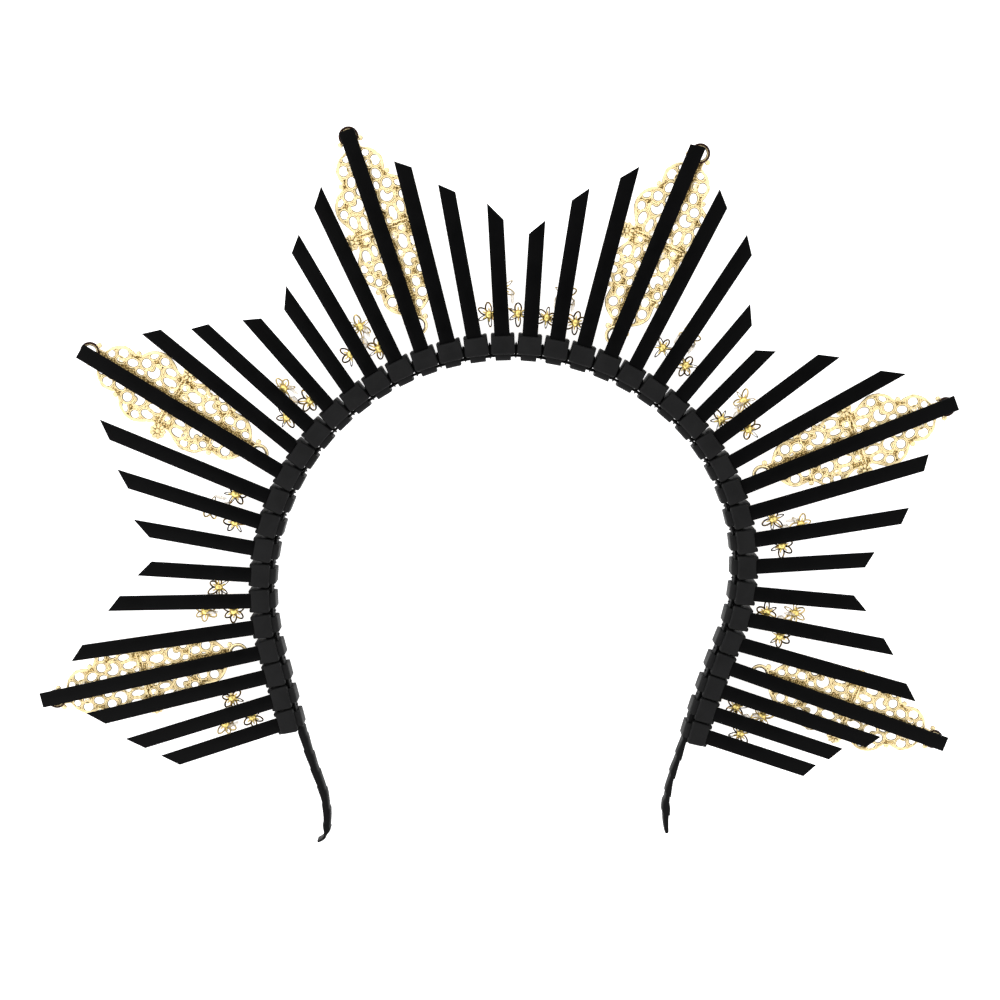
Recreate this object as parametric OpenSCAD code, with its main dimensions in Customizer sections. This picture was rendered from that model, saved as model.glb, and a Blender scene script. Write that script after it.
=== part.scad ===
// Sunburst crown headband: a narrow ribbon-wrapped headband, a row of black cable ties closed
// round it with their tails standing out as rays, gold filigree leaves behind the long rays and
// clusters of small gold flowers between them. It lies on its back: +Z is the front of the crown,
// +Y is its top, and the origin is under the middle of its outline.

/* [Headband] */
// Distance from one tie to the next along the band
pitch = 7.93; // [7.91:0.01:8.1]
// Width of the ribbon-wrapped band, front to back
band_w = 5; // [4.6:0.1:5]
// Thickness of the band under the ties
band_t = 0.85; // [0.7:0.05:0.85]
// Thickness of the bare left tail, where the ribbon is doubled
left_tail_t = 2.2; // [1.6:0.1:2.4]
// Thickness of the bare right tail
right_tail_t = 1.6; // [1.2:0.1:2]
// Thickness of the band at the very ends
tail_tip_t = 0.9; // [0.7:0.1:1.2]

/* [Cable ties] */
// Width of a tie's strap
strap_w = 4.8; // [4.2:0.1:4.8]
// Thickness of a tie's strap
strap_t = 1; // [0.8:0.1:1]
// Width of a tie's head where it meets the band
head_w = 7.7; // [7:0.1:7.7]
// Width of a tie's head at its outer end
head_tip_w = 7.1; // [6.4:0.1:7.2]
// Length of a tie's head along its strap
head_l = 6.5; // [5.6:0.1:6.8]
// Thickness of the wall in front of the strap
head_wall = 0.9; // [0.7:0.1:1.1]

/* [Filigree leaves] */
// Thickness of the pierced leaf
leaf_t = 0.8; // [0.5:0.1:1]

/* [Flowers] */
// Distance of each flower from the middle of its cluster
flower_spread = 5.2; // [4.8:0.1:5.6]
// Radius of a flower to its petal tips
petal_r = 3.8; // [3:0.1:4]
// Thickness of the petals
petal_t = 0.45; // [0.3:0.05:0.6]
// Radius of a flower's domed centre
dome_r = 1.1; // [0.8:0.05:1.1]

/* [Hidden] */
$fn = 48;
TIE_COUNT = 42;
LEAF_COUNT = 6;
CLUSTER_PAIRS = 6;

// The band's route, clockwise from the lower left end: each row is a bend
LENGTH = 0;
TURN = 1;
BENDS = [
    [5.5, -22],
    [5.7, -10],
    [9.1, -15],
    [23.2, 6.7],
    [3 * pitch, 0],
    [24 * pitch, 144],
    [10 * pitch, 70],
    [4 * pitch, -5],
    [13.9, 2],
    [14.1, -15],
    [7.5, -12],
];
// Where the route starts, from the middle of the hoop, and the way that its outer side faces there
ROUTE_START = [-59.2, -84.9];
ROUTE_START_N = -63;
// The first tie sits after the left tail
FIRST_TIE_S = 43.3;
ROUTE_L = route_length(len(BENDS));
// The stretch that the ties stand on, and the distance from one cross-section to the next
TIED_START = FIRST_TIE_S - 2 * pitch / 3;
TIED_END = FIRST_TIE_S + (TIE_COUNT - 1 / 3) * pitch;
TIED_STEP = pitch / 3;
TAIL_STEP = 1.9;

// Each tie, clockwise: its lean from square to the band, the strap's length from the band, and
// how much further the clockwise side of its cut end reaches
LEAN = 0;
REACH = 1;
CUT = 2;
TIES = [
    [-5.1, 42.7, 4.7],
    [-4.2, 52.1, 5],
    [-0.8, 62.1, 5],
    [0.7, 77.5, 0],
    [-0.9, 62.9, -4.4],
    [0.4, 49.3, -4],
    [-1, 39.5, -4.3],
    [-0.3, 41.5, 5.7],
    [1.2, 50.4, 4.8],
    [0.2, 60.4, 5.1],
    [3.1, 77.4, 0],
    [5.2, 62.2, -3.7],
    [2.4, 51.5, -3],
    [2.8, 41.6, -3.4],
    [2.9, 40, 5.6],
    [1.5, 51.7, 3.8],
    [0.4, 60.7, 4.9],
    [0.9, 75.7, 0],
    [-0.4, 61.3, -3],
    [-2.8, 51.8, -3.2],
    [-1.7, 43.5, -5.2],
    [-1, 39, 4.4],
    [-1.7, 50.4, 4.5],
    [-2.2, 60.1, 4.7],
    [-0.4, 74.1, 0.8],
    [-1.5, 63.3, -4],
    [-1.6, 55.6, -4.4],
    [-1.1, 39.3, -4.7],
    [-3.4, 34.6, 4.2],
    [-1.8, 48.6, 4.9],
    [-1.2, 62.8, 6.4],
    [-0.6, 76.7, 0],
    [-1.9, 62.6, -2.7],
    [-1.8, 53.3, -3],
    [-3, 41.6, -3.2],
    [-1.3, 39.7, 4.8],
    [-2.4, 51.4, 4.4],
    [-4.5, 62.9, 4.7],
    [0.4, 79.6, 0],
    [0.9, 57.3, -3.2],
    [1.8, 47.2, -2.9],
    [3, 40.9, -2.6],
];

// The first leaf's tie, and how many ties on the next leaf is
FIRST_LEAF_TIE = 4;
LEAF_STEP = 7;

// Each flower cluster: its tie, its middle along the strap from the band and to the clockwise
// side, and the turn of its first flower from the strap's outward direction
ON_TIE = 0;
ALONG = 1;
ACROSS = 2;
SPIN = 3;
CLUSTERS = [
    [6, 16.3, -1, 91],
    [9, 17.2, 0.7, 105],
    [13, 14.9, 1.9, 132],
    [16, 15.3, 2.3, 139],
    [21, 14.8, 0.9, 121],
    [23, 14.4, 0.3, 121],
    [27, 17.5, 0.2, 124],
    [30, 15.2, -1.4, 86],
    [34, 16, -1.2, 110],
    [37, 16.2, -1.2, 80],
    [41, 16.5, -1.1, 91],
    [2, 18.5, -0.8, 93],
];

// How each leaf sits behind its strap: how far its middle is from the strap's tip, how far to the
// clockwise side, and its turn about its middle
MIDDLE_IN = 0;
MIDDLE_ACROSS = 1;
LEAF_TURN = 2;
LEAF_PLACES = [
    [34.5, 0.3, 2],
    [32.6, 1.2, 0],
    [31.9, 0.7, 1.3],
    [31.7, 0.2, -2.6],
    [33.2, -0.6, -1.5],
    [33.9, -0.7, -1.1],
];
LEAF_MIDDLE = 32.3;

// The leaf's right edge from the strap's tip to the head: distance from the tip and distance from
// the leaf's middle line
FROM_TIP = 0;
FROM_MIDDLE = 1;
LEAF_EDGE = [
    [3, 2.3],
    [6.2, 2.5],
    [6.8, 3.7],
    [7.4, 4.9],
    [8.6, 6.1],
    [10.2, 7],
    [12, 7.4],
    [13.7, 7.2],
    [14.8, 6.8],
    [15.6, 7],
    [16.5, 7.6],
    [17.1, 8.4],
    [17.8, 9.6],
    [18.9, 10.5],
    [20.4, 11.3],
    [21.9, 11.7],
    [23.1, 11.8],
    [24.5, 11.6],
    [26, 10.9],
    [27.3, 10.1],
    [28.6, 9.1],
    [29.4, 8.8],
    [35.2, 8.8],
    [36.8, 9.7],
    [38.2, 10.5],
    [39.7, 11.1],
    [41.5, 11.3],
    [43.1, 11.2],
    [44.6, 10.8],
    [45.9, 10.1],
    [46.9, 9],
    [47.6, 8.2],
    [49, 7.3],
    [51.5, 7.5],
    [53.3, 7.6],
    [54.7, 7.2],
    [55.9, 6.4],
    [56.9, 5.4],
    [58, 3.9],
    [58.8, 2.5],
    [62, 2.2],
];
// Round pieces of the edge, with their radius: beads, hooks, and the two rings' discs
RADIUS = 2;
BEADS = [
    [3.8, 3.2, 0.8],
    [15.5, 7.4, 0.8],
    [49.1, 7.9, 0.85],
    [60.8, 3.1, 0.85],
];
TIP_RING = [2.3, 0, 3.1];
END_RING = [62.7, 0, 3.05];
// Oval gaps pierced through each half, with their half width and half length
GAP_W = 2;
GAP_L = 3;
GAPS = [
    [11.4, 5.1, 1.1, 1.2],
    [19, 6.1, 1.1, 1.1],
    [26.9, 7.6, 0.9, 1.6],
    [28.1, 4.7, 0.85, 1.9],
    [37, 4.6, 1.1, 1.95],
    [37.9, 7.5, 0.95, 1.75],
    [41.1, 9.5, 1.15, 1.2],
    [53.4, 4.9, 1.1, 1.1],
];
GAP_SIDES = 14;
// Crescent gaps: a disc and, next to it, the disc that is left standing in it
CRESCENTS = [
    [[22.3, 4.8, 1.65], [21.1, 5.6, 1.5]],
    [[42.8, 4.75, 1.7], [43.7, 5.7, 1.3]],
];
ROSETTE = [32.3, 10.4, 2.55];
ROSETTE_PETALS = 9;
ROSETTE_PETAL_R = 0.75;

// A flower's six pointed petals: from the notch before a petal round its tip, each point's
// distance from the middle as a share of the flower's radius, and its angle from the petal's line
PETALS = 6;
PETAL_REACH = 0;
PETAL_ANGLE = 1;
PETAL_SHAPE = [[0.35, -30], [0.55, -17], [0.8, -12], [1, 0], [0.8, 12], [0.55, 17]];
PETAL_TURN = 12;

// Heights above the surface that the crown lies on
LOOP_GAP = 0.05;
PIECE_GAP = 0.1;
BAND_GAP = 0.15;
LEG_Z = strap_t;
BAND_Z = LEG_Z + BAND_GAP;
STRAP_Z = BAND_Z + band_w + BAND_GAP;
SLOT_GAP = 0.15;
HEAD_TOP_Z = STRAP_Z + strap_t + SLOT_GAP + head_wall;
HEAD_BACK_Z = 0.3;
LEAF_Z = STRAP_Z - PIECE_GAP - leaf_t;
PETAL_Z = 4.8;
PAD_Z = 3.9;
DOME_Z = 4;
STEM_Z = 4.1;
STEM_T = 0.75;
STEM_BAR_W = 0.8;
PAD_R = 1.5;
DOME_SHOULDER_Z = PETAL_Z + 0.8;
DOME_TOP_Z = STRAP_Z - PIECE_GAP;

// Depths from the head's inner face, towards the middle of the hoop
BAND_MID = LOOP_GAP + band_t / 2;
LOOP_IN = -(band_t + 2 * LOOP_GAP);
LOOP_OUT = LOOP_IN - strap_t;
LOOP_ROUND = 0.9;
// The loop's bars end in the head's core, between the two mouths of its slot, and so does the strap
LOOP_END = 1.6;
SLOT_DEPTH = 1;
STRAP_START = 3;
HEAD_BEVEL = 0.6;
HEAD_LEDGE = 0.8;
HEAD_DROP = 0.7;
HEAD_CORNER = 1.1;
OVERSHOOT = 0.5;
BAND_EDGE = 0.25;

function tie_name(i) = str("tie_", i < 10 ? "0" : "", i);

// Directions on the floor for an angle clockwise from +Y
function outward(n) = [sin(n), cos(n)];
function clockwise(n) = [cos(n), -sin(n)];

// The route's length over its first bends
function route_length(count, i = 0) =
    i >= count ? 0 : BENDS[i][LENGTH] + route_length(count, i + 1);

// The end of an arc that starts at p, facing n, with the given length and turn
function arc_chord(length, turn) =
    turn == 0 ? length : length * sin(turn / 2) / (turn / 2 * PI / 180);
function arc_end(p, n, length, turn) =
    p + arc_chord(length, turn) * clockwise(n + turn / 2);

// The start of each bend: its distance along the route, its point and the way it faces
function bend_starts(i = 0, s = 0, p = ROUTE_START, n = ROUTE_START_N) =
    i >= len(BENDS) ? [] : concat(
        [[s, p, n]],
        bend_starts(
            i + 1,
            s + BENDS[i][LENGTH],
            arc_end(p, n, BENDS[i][LENGTH], BENDS[i][TURN]),
            n + BENDS[i][TURN]
        )
    );
STARTS = bend_starts();

// The point and facing at a distance s along the route, which is the heads' inner side
function bend_at(s) = max([for (i = [0:len(STARTS) - 1]) if (STARTS[i][0] <= s + 0.001) i]);
function station(s) =
    let (
        i = bend_at(s),
        run = s - STARTS[i][0],
        turn = BENDS[i][TURN] * run / BENDS[i][LENGTH]
    )
    [arc_end(STARTS[i][1], STARTS[i][2], run, turn), STARTS[i][2] + turn];

function tie_station(i) = station(FIRST_TIE_S + (i - 1) * pitch);
function leaf_tie(k) = FIRST_LEAF_TIE + (k - 1) * LEAF_STEP;

// The outermost points, from which the origin is placed
function strap_point(i, along, across) =
    let (st = tie_station(i), n = st[1] + TIES[i - 1][LEAN])
    st[0] + along * outward(n) + across * clockwise(n);
function tip_corners(i) = [
    for (side = [-1, 1])
        strap_point(i, TIES[i - 1][REACH] + side * TIES[i - 1][CUT] / 2, side * strap_w / 2)
];
function tip_ring_points(k) =
    let (
        place = LEAF_PLACES[k - 1],
        i = leaf_tie(k),
        arm = LEAF_MIDDLE - TIP_RING[FROM_TIP],
        along = arm * cos(place[LEAF_TURN]) - place[MIDDLE_IN],
        across = place[MIDDLE_ACROSS] - arm * sin(place[LEAF_TURN]),
        c = strap_point(i, TIES[i - 1][REACH] + along, across)
    )
    [c - TIP_RING[RADIUS] * [1, 1], c + TIP_RING[RADIUS] * [1, 1]];
function band_point(s, side) =
    let (st = station(s)) st[0] - (BAND_MID - side * band_half(s)) * outward(st[1]);
OUTER_POINTS = concat(
    [for (i = [1:TIE_COUNT]) each tip_corners(i)],
    [for (k = [1:LEAF_COUNT]) each tip_ring_points(k)],
    [for (s = [0, ROUTE_L], side = [-1, 1]) band_point(s, side)]
);
XS = [for (p = OUTER_POINTS) p[0]];
YS = [for (p = OUTER_POINTS) p[1]];
MIDDLE = [(min(XS) + max(XS)) / 2, (min(YS) + max(YS)) / 2];

// Half of the band's thickness at a distance s along the route
function band_half(s) = lookup(s, [
    [0, tail_tip_t / 2],
    [4, tail_tip_t / 2 + 0.05],
    [7.5, left_tail_t / 2],
    [TIED_START - 3, left_tail_t / 2 - 0.1],
    [TIED_START, band_t / 2],
    [TIED_END, band_t / 2],
    [TIED_END + 3, right_tail_t / 2 + 0.1],
    [ROUTE_L - 9, right_tail_t / 2],
    [ROUTE_L - 6.5, right_tail_t / 2 + 0.1],
    [ROUTE_L - 4, tail_tip_t / 2 + 0.1],
    [ROUTE_L, tail_tip_t / 2 - 0.1],
]);

module placed() {
    translate([-MIDDLE[0], -MIDDLE[1], 0]) children();
}

// Children drawn with the band at y = 0, outward along +Y and clockwise along +X
module at_tie(i) {
    st = tie_station(i);
    placed() translate([st[0][0], st[0][1], 0]) rotate([0, 0, -st[1]]) children();
}

// Children drawn along a tie's own strap, which leans a little
module along_strap(i) {
    at_tie(i) rotate([0, 0, -TIES[i - 1][LEAN]]) children();
}

// The band's cross-section for half of its thickness: outward from its middle, and up
function band_section(half) =
    let (flat = half - BAND_EDGE, top = band_w - BAND_EDGE)
    [
        [-half, BAND_EDGE],
        [-half, top],
        [-flat, band_w],
        [flat, band_w],
        [half, top],
        [half, BAND_EDGE],
        [flat, 0],
        [-flat, 0],
    ];

// The band is one closed tube swept along the route, with bevelled edges
module band() {
    stations = concat(
        [for (s = [0:TAIL_STEP:TIED_START - TAIL_STEP / 2]) s],
        [for (s = [TIED_START:TIED_STEP:TIED_END + TIED_STEP / 2]) s],
        [for (s = [TIED_END + TAIL_STEP:TAIL_STEP:ROUTE_L - TAIL_STEP / 2]) s],
        [ROUTE_L]
    );
    function ring(s) =
        let (st = station(s), mid = st[0] - BAND_MID * outward(st[1]))
        [
            for (c = band_section(band_half(s)))
                let (p = mid + c[0] * outward(st[1])) [p[0], p[1], BAND_Z + c[1]]
        ];
    points = [for (s = stations) each ring(s)];
    rings = len(stations);
    sides = len(points) / rings;
    walls = [
        for (r = [0:rings - 2], c = [0:sides - 1])
            [
                r * sides + c,
                r * sides + (c + 1) % sides,
                (r + 1) * sides + (c + 1) % sides,
                (r + 1) * sides + c,
            ]
    ];
    caps = [
        [for (c = [sides - 1:-1:0]) c],
        [for (c = [0:sides - 1]) (rings - 1) * sides + c],
    ];
    color("#1b1b1b") placed() polyhedron(points, concat(walls, caps));
}

// A closed loop round the band, seen from the side, with its inner corners rounded
module loop_profile() {
    difference() {
        union() {
            translate([LOOP_OUT + LOOP_ROUND, 0])
                square([LOOP_END - LOOP_OUT - LOOP_ROUND, STRAP_Z + strap_t]);
            translate([LOOP_OUT, LOOP_ROUND])
                square([2 * LOOP_ROUND, STRAP_Z + strap_t - 2 * LOOP_ROUND]);
            for (z = [LOOP_ROUND, STRAP_Z + strap_t - LOOP_ROUND])
                translate([LOOP_OUT + LOOP_ROUND, z]) circle(r = LOOP_ROUND);
        }
        translate([LOOP_IN, LEG_Z]) square([2 * LOOP_END - LOOP_IN, STRAP_Z - LEG_Z]);
    }
}

// The head: its outline from the front, cut to its outlines from the side and along the strap,
// which overshoot one another so that no two of their faces meet
module head_block() {
    low = HEAD_BACK_Z - OVERSHOOT;
    high = HEAD_TOP_Z + OVERSHOOT;
    side = head_w / 2 + OVERSHOOT;
    intersection() {
        translate([0, 0, low]) linear_extrude(high - low) head_outline();
        side_extrude(2 * side)
            polygon([
                [-OVERSHOOT, HEAD_BACK_Z],
                [head_l - HEAD_LEDGE, HEAD_BACK_Z],
                [head_l + OVERSHOOT, HEAD_BACK_Z + HEAD_LEDGE + OVERSHOOT],
                [head_l + OVERSHOOT, HEAD_TOP_Z - HEAD_DROP * (1 + OVERSHOOT / HEAD_LEDGE)],
                [head_l - HEAD_LEDGE, HEAD_TOP_Z],
                [HEAD_BEVEL / 2, HEAD_TOP_Z],
                [-OVERSHOOT, HEAD_TOP_Z - HEAD_BEVEL / 2 - OVERSHOOT],
            ]);
        translate([0, -2 * OVERSHOOT, 0]) front_extrude(head_l + 4 * OVERSHOOT)
            polygon([
                [-side, low],
                [side, low],
                [side, HEAD_TOP_Z - HEAD_BEVEL - OVERSHOOT],
                [side - HEAD_BEVEL - 2 * OVERSHOOT, high],
                [-side + HEAD_BEVEL + 2 * OVERSHOOT, high],
                [-side, HEAD_TOP_Z - HEAD_BEVEL - OVERSHOOT],
            ]);
    }
}

module head_outline() {
    tip = head_tip_w / 2;
    polygon([
        [-head_w / 2, 0],
        [head_w / 2, 0],
        [tip, head_l - HEAD_CORNER],
        [tip - HEAD_CORNER / 3, head_l - HEAD_CORNER / 3],
        [tip - HEAD_CORNER, head_l],
        [-tip + HEAD_CORNER, head_l],
        [-tip + HEAD_CORNER / 3, head_l - HEAD_CORNER / 3],
        [-tip, head_l - HEAD_CORNER],
    ]);
}

// Extrudes a profile drawn in (y, z) across the strap, centred on it
module side_extrude(width) {
    rotate([90, 0, 90]) translate([0, 0, -width / 2]) linear_extrude(width) children();
}

// Extrudes a profile drawn in (x, z) outward
module front_extrude(depth) {
    translate([0, depth, 0]) rotate([90, 0, 0]) linear_extrude(depth) children();
}

// The gap round the strap where it passes in or out of the head
module slot_mouth(start) {
    width = strap_w + 2 * SLOT_GAP;
    translate([-width / 2, start, STRAP_Z - SLOT_GAP])
        cube([width, 2 * SLOT_DEPTH, strap_t + 2 * SLOT_GAP]);
}

// One closed cable tie: head, loop round the band, and the tail as a ray with its end cut
module tie(i) {
    lean = TIES[i - 1][LEAN];
    reach = TIES[i - 1][REACH];
    cut = TIES[i - 1][CUT];
    color("#161616") at_tie(i) {
        difference() {
            head_block();
            slot_mouth(-SLOT_DEPTH);
            rotate([0, 0, -lean]) slot_mouth(head_l - SLOT_DEPTH);
        }
        side_extrude(strap_w) loop_profile();
        rotate([0, 0, -lean])
            translate([0, 0, STRAP_Z])
                linear_extrude(strap_t)
                    polygon([
                        [-strap_w / 2, STRAP_START],
                        [strap_w / 2, STRAP_START],
                        [strap_w / 2, reach + cut / 2],
                        [-strap_w / 2, reach - cut / 2],
                    ]);
    }
}

// A round piece or gap of a leaf, on one side of its middle line
module leaf_disc(row, side) {
    translate([side * row[FROM_MIDDLE], -row[FROM_TIP]]) circle(r = row[RADIUS]);
}

module rosette(side) {
    translate([side * ROSETTE[FROM_MIDDLE], -ROSETTE[FROM_TIP]]) {
        circle(r = ROSETTE[RADIUS] - ROSETTE_PETAL_R / 2);
        for (a = [0:360 / ROSETTE_PETALS:359])
            rotate(a)
                translate([0, ROSETTE[RADIUS] - ROSETTE_PETAL_R]) circle(r = ROSETTE_PETAL_R);
    }
}

module leaf_gap(row, side) {
    translate([side * row[FROM_MIDDLE], -row[FROM_TIP]])
        polygon([
            for (k = [0:GAP_SIDES - 1])
                let (a = k * 360 / GAP_SIDES) [row[GAP_W] * sin(a), row[GAP_L] * cos(a)]
        ]);
}

// The leaf's outline with its gaps pierced, the strap's tip at the origin
module leaf_outline() {
    last = len(LEAF_EDGE) - 1;
    difference() {
        union() {
            polygon(concat(
                [for (p = LEAF_EDGE) [-p[FROM_MIDDLE], -p[FROM_TIP]]],
                [for (j = [last:-1:0]) [LEAF_EDGE[j][FROM_MIDDLE], -LEAF_EDGE[j][FROM_TIP]]]
            ));
            leaf_disc(TIP_RING, 1);
            leaf_disc(END_RING, 1);
            for (side = [-1, 1]) {
                for (row = BEADS) leaf_disc(row, side);
                rosette(side);
            }
        }
        for (side = [-1, 1]) {
            for (row = GAPS) leaf_gap(row, side);
            for (pair = CRESCENTS)
                difference() {
                    leaf_disc(pair[0], side);
                    leaf_disc(pair[1], side);
                }
        }
    }
}

// One pierced filigree leaf, glued behind a long ray
module leaf(k) {
    i = leaf_tie(k);
    place = LEAF_PLACES[k - 1];
    middle = TIES[i - 1][REACH] - place[MIDDLE_IN];
    color("#d9b45a")
        along_strap(i)
            translate([place[MIDDLE_ACROSS], middle, LEAF_Z])
                rotate([0, 0, place[LEAF_TURN]])
                    translate([0, LEAF_MIDDLE, 0]) linear_extrude(leaf_t) leaf_outline();
}

// A flower seen from the front
module flower_outline() {
    polygon([
        for (k = [PETALS - 1:-1:0], p = PETAL_SHAPE)
            let (a = k * 360 / PETALS - p[PETAL_ANGLE])
                petal_r * p[PETAL_REACH] * [sin(a), cos(a)]
    ]);
}

// A flower's domed centre
module dome() {
    cylinder(r = dome_r, h = DOME_SHOULDER_Z - DOME_Z);
    translate([0, 0, DOME_SHOULDER_Z - DOME_Z])
        cylinder(r1 = dome_r, r2 = dome_r / 2, h = DOME_TOP_Z - DOME_SHOULDER_Z);
}

// Three flowers on a pad behind a strap, joined by short stems
module cluster(row) {
    along_strap(row[ON_TIE]) translate([row[ACROSS], row[ALONG], 0]) {
        translate([0, 0, PAD_Z]) cylinder(r = PAD_R, h = STRAP_Z - PIECE_GAP - PAD_Z);
        for (a = [0:120:240]) rotate(-row[SPIN] - a) {
            translate([-STEM_BAR_W / 2, 0, STEM_Z]) cube([STEM_BAR_W, flower_spread, STEM_T]);
            translate([0, flower_spread, PETAL_Z])
                rotate(PETAL_TURN) linear_extrude(petal_t) flower_outline();
            translate([0, flower_spread, DOME_Z]) dome();
        }
    }
}

// Two neighbouring clusters
module flowers(k) {
    color("#e2bf62") for (j = [2 * k - 2, 2 * k - 1]) cluster(CLUSTERS[j]);
}

band();
for (i = [1:TIE_COUNT]) tie(i);
for (k = [1:LEAF_COUNT]) leaf(k);
for (k = [1:CLUSTER_PAIRS]) flowers(k);
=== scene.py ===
"""Looks of a sunburst crown headband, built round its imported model.

The crown lies on its back: black cable ties stand out from a ribbon-wound band as rays, with pierced
gold leaves behind the long rays and clusters of small wire flowers between them. Pieces are modelled
in millimetres and placed in metres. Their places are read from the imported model's own nodes.
"""

import logging
import math
import random
from collections.abc import Callable, Iterable
from dataclasses import dataclass, field
from enum import Enum, IntEnum

import bmesh
import bpy
from bmesh.types import BMEdge, BMesh, BMFace, BMVert
from bpy.types import Material, Mesh, Node, NodeSocket, Object
from mathutils import Matrix, Vector
from mathutils.geometry import delaunay_2d_cdt, intersect_point_line


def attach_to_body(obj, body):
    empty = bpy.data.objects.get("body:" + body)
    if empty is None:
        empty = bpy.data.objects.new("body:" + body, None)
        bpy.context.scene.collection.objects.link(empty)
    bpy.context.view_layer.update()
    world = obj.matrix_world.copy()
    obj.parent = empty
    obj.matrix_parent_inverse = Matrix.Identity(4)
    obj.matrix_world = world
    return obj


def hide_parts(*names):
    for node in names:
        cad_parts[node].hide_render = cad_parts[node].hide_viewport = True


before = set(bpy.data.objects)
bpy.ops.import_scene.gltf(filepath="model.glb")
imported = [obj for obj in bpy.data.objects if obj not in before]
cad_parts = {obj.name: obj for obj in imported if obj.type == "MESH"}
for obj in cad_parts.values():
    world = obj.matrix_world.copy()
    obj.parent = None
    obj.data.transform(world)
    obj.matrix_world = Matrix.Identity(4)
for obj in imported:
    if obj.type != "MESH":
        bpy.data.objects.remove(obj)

LOG = logging.getLogger("crown")
MM = 0.001
UP = Vector((0, 0, 1))
IDENTITY = Matrix.Identity(4)
SHARP_ANGLE = math.radians(40)
LEAST_EDGE_ANGLE = math.radians(20)
LEVEL_TOLERANCE = 0.02 * MM
ALIGNED = 0.9
TOUCHING = 0.01
CUT_TOLERANCE = 0.0001
MERGE_DISTANCE = 0.002
FILL_INSIDE = 1
NOISE_MIDDLE = (0.3, 0.7)
Colour = tuple[float, float, float]


class Slot(Enum):
    """Names of material slots, which nothing in this script uses."""

    BAND = "ribbon_band"
    TIE = "cable_tie"
    LEAF = "gold_leaf"
    FLOWER = "gold_flower"


class TieMaterial(IntEnum):
    """The places of a tie's materials in its list."""

    STRAP = 0
    HEAD = 1


class LeafMaterial(IntEnum):
    """The places of a leaf's materials in its list."""

    GOLD = 0
    BLACKENED = 1
    # Dark gold for the wires that paint shade along the leaf's outline and holes.
    EDGE = 2


class FlowerMaterial(IntEnum):
    """The places of a cluster's materials in its list."""

    PETAL = 0
    CENTRE = 1
    GLUE = 2
    PALE_PETAL = 3


def basis(origin: Vector, across: Vector, outward: Vector) -> Matrix:
    """Makes the place of a piece that is modelled lying flat, in millimetres.

    Args:
        origin: Where the piece's own origin goes, in metres.
        across: The direction of the piece's X.
        outward: The direction of the piece's Y.

    Returns:
        The matrix from the piece's millimetres to the frame's metres.
    """
    turn = Matrix((across, outward, UP)).transposed().to_4x4()
    return Matrix.Translation(origin) @ turn @ Matrix.Scale(MM, 4)


def turned_square(direction: Vector) -> Vector:
    """Turns a flat direction a quarter clockwise, seen from the front."""
    return Vector((direction.y, -direction.x, 0))


def verts_of(geometry: Iterable) -> list[BMVert]:
    """Picks the vertices from an operator's result."""
    return [g for g in geometry if isinstance(g, BMVert)]


def faces_of(geometry: Iterable) -> list[BMFace]:
    """Picks the faces from an operator's result."""
    return [g for g in geometry if isinstance(g, BMFace)]


def paint(part: BMesh | Mesh, material: int) -> None:
    """Gives every face of a part one of its piece's materials.

    Args:
        part: The part.
        material: The material's place in the piece's list.
    """
    for face in part.faces if isinstance(part, BMesh) else part.polygons:
        face.material_index = material


def drop_inner_faces(bm: BMesh) -> None:
    """Removes the faces that repeated extrusions leave across the inside of a part."""
    inner = [f for f in bm.faces if all(len(e.link_faces) > 2 for e in f.edges)]
    bmesh.ops.delete(bm, geom=inner, context="FACES_ONLY")


def as_template(bm: BMesh) -> Mesh:
    """Turns a bmesh into a mesh that can be stamped many times.

    Args:
        bm: The part, which is freed.

    Returns:
        The mesh.
    """
    mesh = bpy.data.meshes.new("template")
    bm.to_mesh(mesh)
    bm.free()
    return mesh


def stamp(bm: BMesh, template: Mesh, place: Matrix = IDENTITY) -> None:
    """Adds a placed copy of a template to a piece.

    Args:
        bm: The piece to add to.
        template: What is added.
        place: Where it goes.
    """
    copy = template.copy()
    copy.transform(place)
    bm.from_mesh(copy)
    bpy.data.meshes.remove(copy)


def merge(bm: BMesh, part: BMesh) -> None:
    """Adds a part to a piece and frees the part."""
    stamp(bm, as_template(part))


def mirror(bm: BMesh) -> None:
    """Turns a part for the right side into one for the left."""
    bmesh.ops.scale(bm, vec=Vector((-1, 1, 1)), verts=bm.verts)


def circle(x: float, y: float, z: float, radius: float, count: int) -> list[Vector]:
    """Draws a level circle.

    Args:
        x: Its middle's X.
        y: Its middle's Y.
        z: Its height.
        radius: Its radius.
        count: How many parts it is cut into.

    Returns:
        Its points, with the first one again at the end.
    """
    angles = [k * math.tau / count for k in range(count + 1)]
    return [Vector((x + radius * math.cos(a), y + radius * math.sin(a), z)) for a in angles]


def round_edges(
    bm: BMesh,
    chosen: Callable[[Vector, Vector], bool],
    radius: float,
    segments: int,
) -> None:
    """Rounds the edges whose two ends pass a test.

    Args:
        bm: The piece.
        chosen: Says of an edge's middle and its direction whether it is rounded.
        radius: How far the rounding reaches from the edge.
        segments: How many faces make the rounding.
    """
    edges = []
    for edge in bm.edges:
        a, b = (v.co for v in edge.verts)
        if edge.calc_face_angle(0.0) > LEAST_EDGE_ANGLE and chosen((a + b) / 2, (b - a).normalized()):
            edges.append(edge)
    bmesh.ops.bevel(
        bm,
        geom=edges,
        offset=radius,
        offset_type="OFFSET",
        segments=segments,
        profile=0.5,
        affect="EDGES",
        clamp_overlap=True,
        material=-1,
    )


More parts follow.
